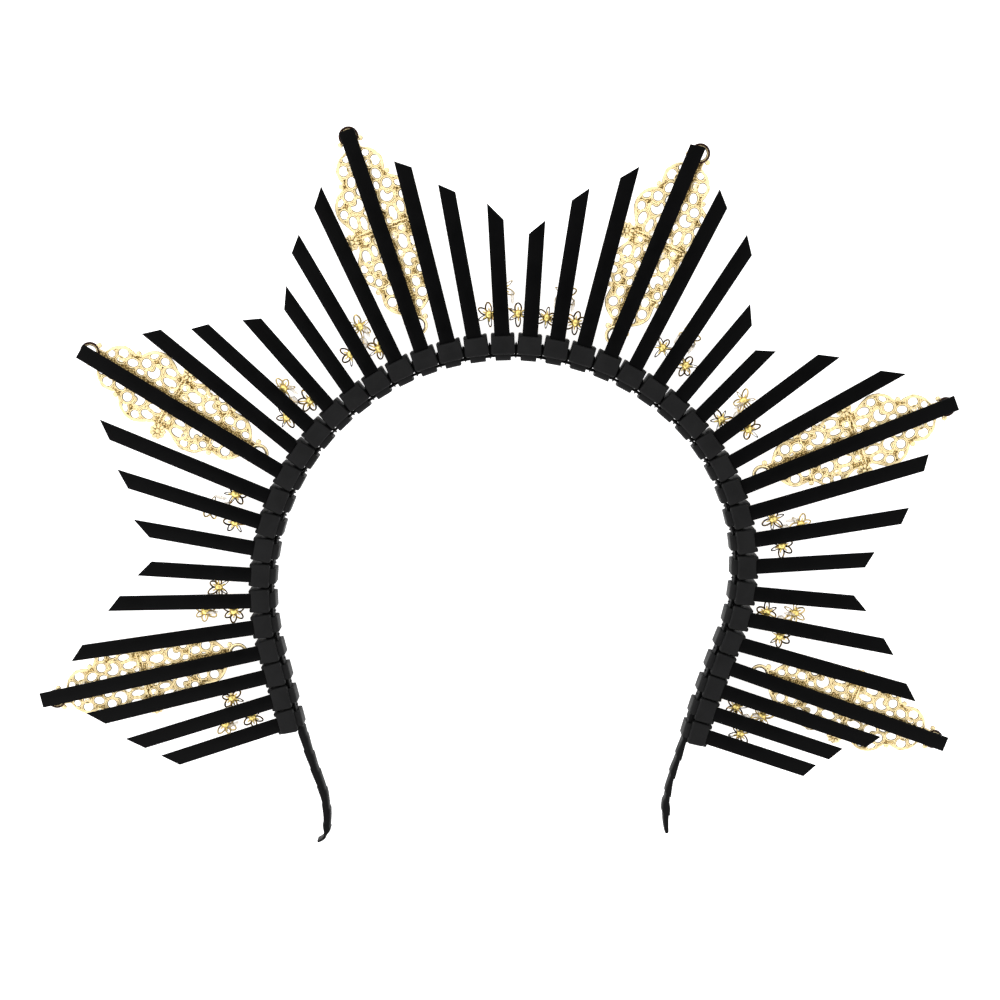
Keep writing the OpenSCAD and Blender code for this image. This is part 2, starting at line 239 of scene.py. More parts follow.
def make_piece(
    name: str,
    bm: BMesh,
    materials: list[Material],
    place: Matrix,
    closed: bool = True,
) -> Object:
    """Finishes a piece: its place goes into its mesh, and its flat faces stay crisp.

    Args:
        name: The piece's name.
        bm: The piece in millimetres, which is freed.
        materials: The piece's materials, in the order of its faces' material indices.
        place: The matrix from the piece's millimetres to the frame.
        closed: Whether its shells are closed, so that their normals can be set outwards.

    Returns:
        The piece's object.
    """
    if closed:
        bmesh.ops.recalc_face_normals(bm, faces=bm.faces)
    bm.transform(place)
    mesh = bpy.data.meshes.new(name)
    bm.to_mesh(mesh)
    bm.free()
    for material in materials:
        mesh.materials.append(material)
    mesh.shade_smooth()
    mesh.set_sharp_from_angle(angle=SHARP_ANGLE)
    piece = bpy.data.objects.new(name, mesh)
    bpy.context.scene.collection.objects.link(piece)
    return piece


def attach(piece: Object, node: str) -> None:
    """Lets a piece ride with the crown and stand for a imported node.

    Args:
        piece: The piece.
        node: The name of the node that it replaces.
    """
    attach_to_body(piece, "root")
    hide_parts(node)
    LOG.info("%s: %d faces", piece.name, len(piece.data.polygons))


class Tube:
    """A tube that grows ring by ring."""

    def __init__(self, bm: BMesh, start: Matrix, sides: int) -> None:
        """Starts a tube.

        Args:
            bm: The piece to add to.
            start: The first ring's place, which turns and scales a circle of radius one.
            sides: How many sides the tube has.
        """
        made = bmesh.ops.create_circle(bm, cap_ends=False, segments=sides, radius=1, matrix=start)
        self.bm = bm
        self.place = start
        self.ring = made["verts"]
        self.first = self._ring_edges(self.ring)

    @staticmethod
    def _ring_edges(ring: list[BMVert]) -> list[BMEdge]:
        """Finds the edges that join a ring's own vertices."""
        inside = set(ring)
        return list(dict.fromkeys(e for v in ring for e in v.link_edges if e.other_vert(v) in inside))

    def grow(self, place: Matrix) -> None:
        """Extrudes the last ring.

        Args:
            place: The new ring's place.
        """
        made = bmesh.ops.extrude_edge_only(self.bm, edges=self._ring_edges(self.ring))
        self.ring = verts_of(made["geom"])
        bmesh.ops.transform(self.bm, matrix=place @ self.place.inverted(), verts=self.ring)
        self.place = place

    def close_ends(self) -> None:
        """Caps both ends."""
        for edges in (self.first, self._ring_edges(self.ring)):
            bmesh.ops.edgeloop_fill(self.bm, edges=edges)


def tube_places(points: list[Vector], radii: list[float], closed: bool) -> list[Matrix]:
    """Works out a ring's place at each point of a wire.

    Args:
        points: The wire's middle line.
        radii: The wire's radius at each point.
        closed: Whether the last point is the first one again.

    Returns:
        One matrix a point, whose Z is the wire's direction and whose scale is its radius.
    """
    last = len(points) - 1
    upright = 0.01
    places = []
    for i, (point, radius) in enumerate(zip(points, radii)):
        before = points[i - 1] if i else points[last - 1 if closed else 0]
        after = points[i + 1] if i < last else points[1 if closed else last]
        along = (after - before).normalized()
        side = along.cross(UP)
        if side.length < upright:
            side = Vector((1, 0, 0))
        side.normalize()
        turn = Matrix((side, along.cross(side), along)).transposed().to_4x4()
        places.append(Matrix.Translation(point) @ turn @ Matrix.Scale(radius, 4))
    return places


def add_wire(
    bm: BMesh,
    points: list[Vector],
    radii: list[float],
    sides: int = 6,
    closed: bool = False,
) -> None:
    """Adds a round wire along points.

    Args:
        bm: The piece to add to.
        points: The wire's middle line, with the first point again at its end if it is closed.
        radii: The wire's radius at each point.
        sides: How many sides the wire has.
        closed: Whether the wire is a loop.
    """
    places = tube_places(points, radii, closed)
    tube = Tube(bm, places[0], sides)
    for place in places[1:]:
        tube.grow(place)
    if closed:
        bmesh.ops.remove_doubles(bm, verts=bm.verts, dist=min(radii) / 50)
    else:
        tube.close_ends()


def add_bead(bm: BMesh, centre: Vector, half: Vector, turn: float = 0.0) -> None:
    """Adds a smooth bead.

    Args:
        bm: The piece to add to.
        centre: The bead's middle.
        half: Its half sizes.
        turn: Its turn about Z, in radians.
    """
    place = Matrix.Translation(centre) @ Matrix.Rotation(turn, 4, "Z") @ Matrix.Diagonal((*half, 1))
    bmesh.ops.create_uvsphere(bm, u_segments=10, v_segments=7, radius=1, matrix=place)


class Shader:
    """A material with a Principled shader and a few nodes in front of it."""

    def __init__(self, name: str) -> None:
        """Starts a material.

        Args:
            name: The material's name.
        """
        self.material = bpy.data.materials.new(name)
        self.material.use_nodes = True
        self.tree = self.material.node_tree
        self.surface = self.tree.nodes["Principled BSDF"]
        source = self.tree.nodes.new("ShaderNodeTexCoord")
        self.coordinates = source.outputs["Object"]
        self.normal = source.outputs["Normal"]

    def set(self, **values: float | tuple) -> None:
        """Sets the shader's own sockets.

        Args:
            **values: A number or a colour for each socket, its name written with underscores.
        """
        for name, value in values.items():
            socket = self.surface.inputs[name.replace("_", " ")]
            socket.default_value = (*value, 1) if isinstance(value, tuple) and len(value) == 3 else value

    def node(self, kind: str, settings: dict, inputs: dict) -> Node:
        """Adds a node.

        Args:
            kind: The node's type.
            settings: Its properties.
            inputs: A value or another node's output for each named socket.

        Returns:
            The node.
        """
        made = self.tree.nodes.new(kind)
        for name, value in settings.items():
            setattr(made, name, value)
        for name, value in inputs.items():
            if isinstance(value, NodeSocket):
                self.tree.links.new(value, made.inputs[name])
            else:
                made.inputs[name].default_value = value
        return made

    def noise(self, size: float, detail: float = 3.0) -> NodeSocket:
        """Adds noise.

        Args:
            size: The size of its features, in metres.
            detail: Its octaves.

        Returns:
            Its value.
        """
        inputs = {"Vector": self.coordinates, "Scale": 1 / size, "Detail": detail, "Roughness": 0.55}
        return self.node("ShaderNodeTexNoise", {}, inputs).outputs["Fac"]

    def ramp(self, value: NodeSocket, stops: list[tuple[float, Colour]]) -> NodeSocket:
        """Turns a value into a colour.

        Args:
            value: The value.
            stops: Positions between 0 and 1 with their colours, in order.

        Returns:
            The colour.
        """
        made = self.node("ShaderNodeValToRGB", {}, {"Fac": value})
        elements = made.color_ramp.elements
        while len(elements) < len(stops):
            elements.new(elements[0].position)
        for element, (position, colour) in zip(elements, stops):
            element.position = position
            element.color = (*colour, 1)
        return made.outputs["Color"]

    def remap(self, value: NodeSocket, **limits: float) -> NodeSocket:
        """Maps a range of a value onto another.

        Args:
            value: The value.
            **limits: The node's limits, their names written with underscores.

        Returns:
            The mapped value.
        """
        inputs = {name.replace("_", " "): limit for name, limit in limits.items()}
        return self.node("ShaderNodeMapRange", {}, {"Value": value, **inputs}).outputs["Result"]

    def calculate(self, operation: str, *values: NodeSocket | float) -> NodeSocket:
        """Puts values through a maths node."""
        inputs = dict(enumerate(values))
        return self.node("ShaderNodeMath", {"operation": operation}, inputs).outputs["Value"]

    def height_of(self, vector: NodeSocket) -> NodeSocket:
        """Takes the Z of a vector."""
        return self.node("ShaderNodeSeparateXYZ", {}, {"Vector": vector}).outputs["Z"]

    def cloud(
        self,
        value: NodeSocket,
        colour: Colour,
        darkest: float,
        palest: float,
        roughness: tuple[float, float],
    ) -> None:
        """Lets a noise vary the colour and the roughness.

        Args:
            value: The noise.
            colour: The middle colour.
            darkest: The colour's factor where the noise is low.
            palest: The colour's factor where the noise is high.
            roughness: The roughness at the same two places.
        """
        low, high = NOISE_MIDDLE
        stops = [(low, scaled(colour, darkest)), (high, scaled(colour, palest))]
        self.feed("Base Color", self.ramp(value, stops))
        varied = self.remap(value, From_Min=low, From_Max=high, To_Min=roughness[0], To_Max=roughness[1])
        self.feed("Roughness", varied)

    def feed(self, name: str, value: NodeSocket) -> None:
        """Drives one of the shader's sockets."""
        self.tree.links.new(value, self.surface.inputs[name])

    def bump(self, heights: list[tuple[NodeSocket, float]]) -> None:
        """Adds bump.

        Args:
            heights: The heights that are added up, each with its depth in metres.
        """
        normal = None
        for value, depth in heights:
            inputs = {"Height": value, "Distance": depth, "Strength": 1.0}
            if normal is not None:
                inputs["Normal"] = normal
            normal = self.node("ShaderNodeBump", {}, inputs).outputs["Normal"]
        self.feed("Normal", normal)


def scaled(colour: Colour, factor: float) -> Colour:
    """Brightens or darkens a colour."""
    return tuple(c * factor for c in colour)


def warmed(colour: Colour) -> Colour:
    """Turns a gold towards orange, as light does that is reflected twice."""
    return tuple(part * kept for part, kept in zip(colour, (0.88, 0.78, 0.52)))


@dataclass(frozen=True)
class NylonFinish:
    """Moulded black nylon: fine grain, and a gloss that varies a little."""

    name: str
    colour: Colour
    roughness: float
    specular: float
    grain: float = 0.00025
    grain_depth: float = 0.00001
    uneven: float = 0.06
    cloud_size: float = 0.006

    def make(self) -> Material:
        """Builds the material."""
        shader = Shader(self.name)
        roughness = (self.roughness - self.uneven, self.roughness + self.uneven)
        shader.cloud(shader.noise(self.cloud_size), self.colour, 0.8, 1.2, roughness)
        shader.set(Specular_IOR_Level=self.specular)
        shader.bump([(shader.noise(self.grain, 2.0), self.grain_depth)])
        return shader.material


@dataclass(frozen=True)
class GoldFinish:
    """Light gold plating: paler on its ridges and in rubbed patches, browner in hollows and in the gaps
    between grains (partly tarnish, partly painted shade), and darkened on steep sides as painted shade.

    Attributes:
        name: The material's name.
        bright: The colour of its ridges.
        deep: The colour of its hollows, gaps and steep sides: partly tarnish, partly painted shade.
        roughness: Its middle roughness.
        hollow_z: The height of its hollows, in millimetres.
        ridge_z: The height of its ridges.
        grain: The size of its stamped grains, in millimetres.
        gap: How much of a grain is dark gap, from 0 to 1. The dark gaps are partly stamped pattern,
            partly painted shade.
        matte_hollow: How much rougher its hollows are than its ridges.
        grain_weight: How much a grain's top counts against the height.
        patch_size: The size of its rubbed patches, in metres.
        patch_weight: How much a patch counts against the height.
        steep: The normal's Z below which a side gets the full painted shade.
        level: The normal's Z above which it gets no painted shade.
    """

    name: str
    bright: Colour
    deep: Colour
    roughness: float
    hollow_z: float
    ridge_z: float
    grain: float = 0.8
    gap: float = 0.2
    matte_hollow: float = 0.3
    grain_weight: float = 0.45
    patch_size: float = 0.0012
    patch_weight: float = 0.3
    steep: float = 0.3
    level: float = 0.8

    def make(self) -> Material:
        """Builds the material."""
        shader = Shader(self.name)
        height = shader.height_of(shader.coordinates)
        # Low places go towards the dark colour: partly tarnish, partly painted shade.
        raised = shader.remap(height, From_Min=self.hollow_z * MM, From_Max=self.ridge_z * MM)
        grains = shader.node("ShaderNodeTexVoronoi", {"feature": "DISTANCE_TO_EDGE"}, {
            "Vector": shader.coordinates, "Scale": 1 / (self.grain * MM),
        }).outputs["Distance"]
        # The gaps between grains are dark: partly stamped pattern, partly painted shade.
        open_grain = shader.remap(grains, From_Min=self.gap * 0.4, From_Max=self.gap)
        grainy = shader.calculate("MULTIPLY_ADD", open_grain, self.grain_weight, raised)
        patches = shader.noise(self.patch_size, 4.0)
        mixed = shader.calculate("MULTIPLY_ADD", patches, self.patch_weight, grainy)
        # Steep sides are darkened towards the dark colour: painted shade.
        upright = shader.calculate("ABSOLUTE", shader.height_of(shader.normal))
        steep_shade = shader.remap(upright, From_Min=self.steep, From_Max=self.level)
        shader.feed("Base Color", shader.ramp(shader.calculate("MULTIPLY", mixed, steep_shade), [
            (0.12, self.deep),
            (0.42, warmed(self.bright)),
            (0.8, scaled(self.bright, 0.94)),
            (1.0, scaled(self.bright, 1.04)),
        ]))
        hollow = self.roughness + self.matte_hollow
        shader.feed("Roughness", shader.remap(raised, To_Min=hollow, To_Max=self.roughness))
        shader.set(Metallic=1.0)
        shader.bump([(open_grain, 0.00004), (shader.noise(0.0004, 2.0), 0.00002)])
        return shader.material


@dataclass(frozen=True)
class RibbonFinish:
    """Black satin ribbon with fine cross threads. Its UV map runs in millimetres along the band."""

    name: str
    colour: Colour
    thread: float = 0.35

    def make(self) -> Material:
        """Builds the material."""
        shader = Shader(self.name)
        along = shader.node("ShaderNodeUVMap", {"uv_map": "ribbon"}, {}).outputs["UV"]
        threads = shader.node("ShaderNodeTexWave", {"bands_direction": "X"}, {
            "Vector": along, "Scale": 0.31 / self.thread, "Distortion": 0.6, "Detail": 1.0,
        }).outputs["Fac"]
        shader.cloud(shader.noise(0.004), self.colour, 0.75, 1.3, (0.5, 0.62))
        shader.set(Sheen_Weight=0.02, Sheen_Roughness=0.4, Specular_IOR_Level=0.07)
        shader.bump([(threads, 0.00005), (shader.noise(0.0015), 0.00006)])
        return shader.material


@dataclass(frozen=True)
class GlueFinish:
    """Set clear glue, a little milky."""

    name: str
    colour: Colour

    def make(self) -> Material:
        """Builds the material."""
        shader = Shader(self.name)
        cloudy = shader.noise(0.001)
        shader.cloud(cloudy, self.colour, 0.9, 1.0, (0.2, 0.35))
        shader.set(Transmission_Weight=0.7, IOR=1.45)
        shader.bump([(cloudy, 0.0001)])
        return shader.material


@dataclass(frozen=True)
class FloorFinish:
    """A plain pale surface, lit a little from below as a light table is."""

    name: str
    colour: Colour
    glow: float = 0.85

    def make(self) -> Material:
        """Builds the material."""
        shader = Shader(self.name)
        shader.feed("Base Color", shader.ramp(shader.noise(0.3), [
            (0.2, scaled(self.colour, 0.99)),
            (0.8, self.colour),
        ]))
        shader.set(Roughness=0.9, Specular_IOR_Level=0.1)
        shader.set(Emission_Color=(1.0, 1.0, 1.0), Emission_Strength=self.glow)
        return shader.material


STRAP_NYLON = NylonFinish("strap_nylon", (0.001, 0.001, 0.0011), 0.42, 0.05, 0.0006, 0.000006)
HEAD_NYLON = NylonFinish("head_nylon", (0.007, 0.007, 0.0072), 0.55, 0.11)
LEAF_GOLD = GoldFinish("leaf_gold", (0.93, 0.76, 0.43), (0.07, 0.035, 0.01), 0.32, 5.84, 5.98, 0.7, 0.22)
# Dark brown gold for the wires that paint shade along the leaf's outline and holes.
EDGE_SHADE_GOLD = GoldFinish("edge_shade_gold", (0.32, 0.2, 0.08), (0.01, 0.006, 0.004), 0.4, 5.84, 5.98, 1.6, 0.5)
DARK_GOLD = GoldFinish("blackened_gold", (0.035, 0.016, 0.012), (0.006, 0.004, 0.004), 0.4, 5.84, 5.98)
PETAL_GOLD = GoldFinish(
    "petal_wire", (0.85, 0.62, 0.24), (0.007, 0.004, 0.003), 0.35, 4.9, 4.72, 2.0, 0.6,
)
PALE_GOLD = GoldFinish("pale_wire", (0.55, 0.42, 0.19), (0.04, 0.025, 0.01), 0.32, 4.6, 5.2, 1.5, 0.4)
CENTRE_GOLD = GoldFinish("centre_gold", (1.0, 0.74, 0.24), (0.25, 0.12, 0.02), 0.3, 4.6, 5.2, 0.8, 0.25)
RIBBON = RibbonFinish("satin_ribbon", (0.0038, 0.0038, 0.004))
GLUE = GlueFinish("clear_glue", (0.93, 0.88, 0.8))
FLOOR = FloorFinish("pale_floor", (0.92, 0.92, 0.92))


@dataclass(frozen=True)
class TieSeat:
    """Where one tie sits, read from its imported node.

    Attributes:
        place: From the tie's millimetres to the frame: X clockwise, Y outward from the head's inner face.
        lean: The strap's turn from outward, clockwise, in radians.
        left: The strap's length to its left tip corner, in millimetres.
        right: The same to its right tip corner.
    """

    place: Matrix
    lean: float
    left: float
    right: float

    @classmethod
    def from_node(cls, node: Object, loop_depth: float, strap_top: float, head_l: float) -> "TieSeat":
        """Reads a seat.

        Args:
            node: The tie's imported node.
            loop_depth: How far its loop reaches inside the head's inner face, in millimetres.
            strap_top: The height of the strap's front.
            head_l: The length of the head.

        Returns:
            The seat.
        """
        points = [v.co.copy() for v in node.data.vertices]
        top = max(p.z for p in points)
        middle_front = mean_of(p for p in points if p.z > top - LEVEL_TOLERANCE)
        middle_back = mean_of(p for p in points if p.z < LEVEL_TOLERANCE)
        outward = (middle_front - middle_back) * Vector((1, 1, 0))
        outward.normalize()
        across = turned_square(outward)
        inner = min(p.dot(outward) for p in points) + loop_depth * MM
        origin = across * middle_front.dot(across) + outward * inner
        place = basis(origin, across, outward)
        local = [place.inverted() @ p for p in points if abs(p.z - strap_top * MM) < LEVEL_TOLERANCE]
        tips = [p for p in local if p.y > head_l + 1]
        tip_bias = 0.2
        left = min(tips, key=lambda p: p.x - tip_bias * p.y)
        right = max(tips, key=lambda p: p.x + tip_bias * p.y)
        middle = (left + right) / 2
        lean = math.atan2(middle.x, middle.y)
        along = Vector((math.sin(lean), math.cos(lean), 0))
        return cls(place, lean, left.dot(along), right.dot(along))


def mean_of(points: Iterable[Vector]) -> Vector:
    """Averages distinct points, so that a corner shared by several faces counts once.

    Args:
        points: The points in metres, repeated or not.

    Returns:
        Their mean.
    """
    distinct = {tuple(round(c, 7) for c in p) for p in points}
    return sum((Vector(p) for p in distinct), Vector()) / len(distinct)


def merged_copy(node: Object) -> BMesh:
    """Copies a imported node's mesh, whose triangles are loose, and joins them.

    Args:
        node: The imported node.

    Returns:
        Its mesh in metres.
    """
    bm = bmesh.new()
    bm.from_mesh(node.data)
    bmesh.ops.remove_doubles(bm, verts=bm.verts, dist=0.001 * MM)
    return bm


def level_loops(node: Object, height: float) -> list[list[Vector]]:
    """Reads the outlines of a node's faces at one height.

    Args:
        node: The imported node.
        height: The height of the faces, in millimetres.

    Returns:
        Each closed outline's points in metres, in order round it.
    """
    bm = merged_copy(node)
    other = [f for f in bm.faces if any(abs(v.co.z - height * MM) > LEVEL_TOLERANCE for v in f.verts)]
    bmesh.ops.delete(bm, geom=other, context="FACES")
    bm.verts.ensure_lookup_table()
    seen = set()
    loops = []
    for start in bm.verts:
        if start in seen or not start.is_boundary:
            continue
        loop = [start]
        seen.add(start)
        while True:
            onward = [
                e.other_vert(loop[-1])
                for e in loop[-1].link_edges
                if e.is_boundary and e.other_vert(loop[-1]) not in seen
            ]
            if not onward:
                break
            loop.append(onward[0])
            seen.add(onward[0])
        loops.append([v.co.copy() for v in loop])
    bm.free()
    return loops


def centre_of(points: list[Vector]) -> Vector:
    """Averages points."""
    return sum(points[1:], points[0]) / len(points)


def inset_loop(points: list[Vector], distance: float) -> list[Vector]:
    """Moves a closed outline sideways.

    Args:
        points: The outline's points.
        distance: How far it moves towards its middle, or away from it if negative.

    Returns:
        The moved points.
    """
    count = len(points)
    area = sum(
        points[i].x * points[(i + 1) % count].y - points[(i + 1) % count].x * points[i].y
        for i in range(count)
    )
    sign = 1 if area > 0 else -1
    moved = []
    for i, point in enumerate(points):
        along = (points[(i + 1) % count] - points[i - 1]).normalized()
        moved.append(point + Vector((-along.y, along.x, 0)) * distance * sign)
    return moved


def outline_gap(first: list[Vector], second: list[Vector]) -> float:
    """Finds the shortest distance from one closed outline's corners to the other's sides.

    Args:
        first: The outline whose corners are measured.
        second: The outline whose sides they are measured to.

    Returns:
        The distance.
    """
    gap = math.inf
    for i, end in enumerate(second):
        start = second[i - 1]
        for point in first:
            _, share = intersect_point_line(point, start, end)
            nearest = start.lerp(end, min(1.0, max(0.0, share)))
            gap = min(gap, (nearest - point).length)
    return gap


def encloses(outline: list[Vector], point: Vector) -> bool:
    """Tells whether a closed outline goes round a point.

    Args:
        outline: The outline's corners.
        point: The point.

    Returns:
        Whether the point lies inside.
    """
    inside = False
    for i, end in enumerate(outline):
        start = outline[i - 1]
        if (start.y > point.y) != (end.y > point.y):
            share = (point.y - start.y) / (end.y - start.y)
            inside ^= point.x < start.x + (end.x - start.x) * share
    return inside


def smooth_line(corners: list[tuple[float, float]], steps: int, z: float) -> list[Vector]:
    """Draws a smooth line through corners.

    Args:
        corners: The points that it passes.
        steps: How many parts each stretch between two corners is cut into.
        z: The line's height.

    Returns:
        The line's points.
    """
    points = [Vector((x, y, z)) for x, y in corners]
    padded = [2 * points[0] - points[1], *points, 2 * points[-1] - points[-2]]
    line = [points[0]]
    for a, b, c, d in zip(padded, padded[1:], padded[2:], padded[3:]):
        for k in range(1, steps + 1):
            t = k / steps
            bend = (2 * a - 5 * b + 4 * c - d) * t * t
            line.append(0.5 * (2 * b + (c - a) * t + bend + (3 * b - a - 3 * c + d) * t ** 3))
    return line


@dataclass
class CableTies:
    """The cable ties. A tie's X is clockwise, its Y runs outward from its head's inner face."""

    strap_w: float = 4.8
    strap_t: float = 1.0
    strap_z: float = 7.3
    body_t: float = 0.7
    strap_start: float = 3.0
    strap_edge: float = 0.16
    rail_w: float = 0.5
    rail_x: float = 2.0
    tooth_w: float = 2.9
    tooth_pitch: float = 1.1
    tooth_start: float = 8.0
    tooth_share: float = 0.96
    tooth_lift: float = 0.03
    tooth_tip: float = 0.24
    embedded: float = 0.1
    spare_l: float = 1.0
    head_w: float = 7.7
    head_end_w: float = 7.1
    head_l: float = 6.5
    head_z: float = 8.35
    head_back: float = 0.3
    plate_l: float = 5.75
    head_corner: float = 1.0
    head_edge: float = 0.6
    back_edge: float = 0.3
    ear_w: float = 1.3
    ear_edge: float = 0.42
    ear_z: float = 7.75
    ear_l: float = 2.0
    ear_lift: float = 0.05
    sill_in: float = 0.08
    sill_lift: float = 0.1
    sill_short: float = 0.15
    sill_gap: float = 0.05
    corner_tuck: float = 0.1
    loop_depth: float = 1.95
    loop_fold: float = 0.1
    leg_end: float = 1.5
    tab_end: float = 1.0
    fold_steps: int = 5
    materials: list = field(default_factory=list)
    head: Mesh | None = None

    def dress(self) -> None:
        """Makes the materials: the straps' first, the heads' second."""
        self.materials = [STRAP_NYLON.make(), HEAD_NYLON.make()]

    def _block(self, low: Vector, high: Vector, taper: float = 1.0) -> BMesh:
        """Makes a block whose outer end is narrower.

        Args:
            low: Its lowest corner.
            high: Its highest corner.
            taper: How much narrower its outer end is than its inner end, as a factor.

        Returns:
            The block.
        """
        bm = bmesh.new()
        place = Matrix.Translation((low + high) / 2) @ Matrix.Diagonal((*(high - low), 1))
        bmesh.ops.create_cube(bm, size=1, matrix=place)
        outer = [v for v in bm.verts if v.co.y > (low.y + high.y) / 2]
        bmesh.ops.scale(bm, vec=Vector((taper, 1, 1)), verts=outer)
        return bm

    def _core(self) -> BMesh:
        """Makes the head's core, up to its matte front plate."""
        half = self.head_w / 2
        ends = self.head_w - (self.head_w - self.head_end_w) * self.plate_l / self.head_l
        low = Vector((-half, 0, self.head_back))
        bm = self._block(low, Vector((half, self.plate_l, self.head_z)), ends / self.head_w)
        round_edges(bm, lambda middle, along: abs(along.z) > ALIGNED, self.head_corner, 4)
        round_edges(bm, lambda middle, along: middle.z > self.head_z - TOUCHING, self.head_edge, 4)
        round_edges(bm, lambda middle, along: middle.z < self.head_back + TOUCHING, self.back_edge, 2)
        return bm

    def _ear(self, side: int) -> BMesh:
        """Makes one of the rounded cheeks that hold the strap's edge where it leaves the head.

        Args:
            side: 1 for the right cheek, -1 for the left one.

        Returns:
            The cheek.
        """
        outer = self.head_end_w / 2 + self.corner_tuck
        low = Vector((outer - self.ear_w, self.plate_l - self.ear_l, self.head_back + self.ear_lift))
        bm = self._block(low, Vector((outer, self.head_l, self.ear_z)))
        round_edges(bm, lambda middle, along: True, self.ear_edge, 3)
        if side < 0:
            mirror(bm)
        return bm

    def _sill(self) -> BMesh:
        """Makes the part of the head under the strap."""
        half = self.head_end_w / 2 - self.sill_in
        top = self.strap_z - self.strap_t - self.sill_gap
        low = Vector((-half, self.plate_l - self.ear_l, self.head_back + self.sill_lift))
        bm = self._block(low, Vector((half, self.head_l - self.sill_short, top)))
        round_edges(bm, lambda middle, along: True, self.ear_edge, 2)
        return bm

    def _loop(self) -> BMesh:
        """Makes the strap's fold round the band: back leg, inner leg and front tab."""
        bm = bmesh.new()
        outer_fold = self.loop_fold + self.strap_t
        fold_y = outer_fold - self.loop_depth
        start = (
            Matrix.Translation((0, self.leg_end, self.strap_t / 2))
            @ Matrix.Rotation(math.pi / 2, 4, "X")
            @ Matrix.Diagonal((self.strap_w / 2, self.strap_t / 2, 1, 1))
        )
        made = bmesh.ops.create_grid(bm, x_segments=1, y_segments=1, size=1, matrix=start)
        front = list({f for v in made["verts"] for f in v.link_faces})
        front = self._push(bm, front, Vector((0, fold_y - self.leg_end, 0)))
        front = self._fold(bm, front, fold_y, outer_fold)
        front = self._push(bm, front, Vector((0, 0, self.strap_z - 2 * outer_fold)))
        front = self._fold(bm, front, fold_y, self.strap_z - outer_fold)
        self._push(bm, front, Vector((0, self.tab_end - fold_y, 0)))
        drop_inner_faces(bm)
        bmesh.ops.recalc_face_normals(bm, faces=bm.faces)
        half = self.strap_w / 2 - TOUCHING
        round_edges(bm, lambda middle, along: abs(middle.x) > half, self.strap_edge, 2)
        return bm

    def _push(self, bm: BMesh, faces: list, by: Vector) -> list:
        """Extrudes an end face.

        Args:
            bm: The piece.
            faces: The end face.
            by: How far it moves.

        Returns:
            The new end face.
        """
        made = bmesh.ops.extrude_face_region(bm, geom=faces)
        bmesh.ops.translate(bm, vec=by, verts=verts_of(made["geom"]))
        return faces_of(made["geom"])

    def _fold(self, bm: BMesh, faces: list, y: float, z: float) -> list:
        """Spins an end face a quarter turn about a line across the strap.

        Args:
            bm: The piece.
            faces: The end face.
            y: The line's Y.
            z: The line's height.

        Returns:
            The new end face.
        """
        made = bmesh.ops.spin(
            bm,
            geom=faces,
            cent=Vector((0, y, z)),
            axis=Vector((1, 0, 0)),
            dvec=Vector(),
            angle=-math.pi / 2,
            steps=self.fold_steps,
            use_merge=False,
            use_normal_flip=False,
            use_duplicate=False,
        )
        return faces_of(made["geom_last"])

    def build_heads(self) -> None:
        """Builds the head with its loop, which every tie shares."""
        bm = bmesh.new()
        for part in (self._core(), self._ear(1), self._ear(-1), self._sill(), self._loop()):
            merge(bm, part)
        paint(bm, TieMaterial.HEAD)
        self.head = as_template(bm)

    def _strap(self, seat: TieSeat) -> BMesh:
        """Makes one strap: smooth front, toothed track between two rails on its back, cut at its tip.

        Args:
            seat: The tie's seat, which has the strap's lengths.

        Returns:
            The strap.
        """
        bm = bmesh.new()
        length = max(seat.left, seat.right) + self.spare_l
        half = self.strap_w / 2
        back = self.strap_z - self.strap_t
        body_z = self.strap_z - self.body_t
        front = Vector((half, length, self.strap_z))
        body = self._block(Vector((-half, self.strap_start, body_z)), front)
        round_edges(body, lambda middle, along: abs(along.y) > ALIGNED, self.strap_edge, 2)
        merge(bm, body)
        for side in (-1, 1):
            rail = self._block(
                Vector((side * self.rail_x - self.rail_w / 2, self.strap_start, back)),
                Vector((side * self.rail_x + self.rail_w / 2, length, body_z + self.embedded)),
            )
            round_edges(rail, lambda middle, along: abs(along.y) > ALIGNED, self.strap_edge / 2, 1)
            merge(bm, rail)
        tooth = self._block(
            Vector((-self.tooth_w / 2, 0, back + self.tooth_lift)),
            Vector((self.tooth_w / 2, self.tooth_pitch * self.tooth_share, body_z + self.embedded)),
        )
        ramp = [v for v in tooth.verts if v.co.y > self.tooth_pitch / 2 and v.co.z < body_z]
        bmesh.ops.translate(tooth, vec=Vector((0, 0, self.tooth_tip)), verts=ramp)
        template = as_template(tooth)
        for k in range(int((length - self.tooth_start) / self.tooth_pitch)):
            stamp(bm, template, Matrix.Translation((0, self.tooth_start + k * self.tooth_pitch, 0)))
        self._cut(bm, Vector((-half, seat.left, 0)), Vector((half, seat.right, 0)))
        return bm

    def _cut(self, bm: BMesh, left: Vector, right: Vector) -> None:
        """Cuts a strap off through its two tip corners, and closes and softens the cut.

        Args:
            bm: The strap.
            left: Its left tip corner.
            right: Its right tip corner.
        """
        across = right - left
        away = Vector((-across.y, across.x, 0)).normalized()
        everything = [*bm.verts, *bm.edges, *bm.faces]
        cut = bmesh.ops.bisect_plane(
            bm,
            geom=everything,
            dist=CUT_TOLERANCE,
            plane_co=left,
            plane_no=away,
            clear_outer=True,
        )
        edges = [g for g in cut["geom_cut"] if isinstance(g, BMEdge)]
        bmesh.ops.edgeloop_fill(bm, edges=edges)
        bmesh.ops.recalc_face_normals(bm, faces=bm.faces)
        front = self.strap_z - TOUCHING

        def on_front_of_cut(middle: Vector, along: Vector) -> bool:
            """Picks the cut's front edge."""
            return middle.z > front and abs((middle - left).dot(away)) < TOUCHING

        round_edges(bm, on_front_of_cut, self.strap_edge, 2)

    def seat_of(self, node: Object) -> TieSeat:
        """Reads where a tie sits."""
        return TieSeat.from_node(node, self.loop_depth, self.strap_z, self.head_l)

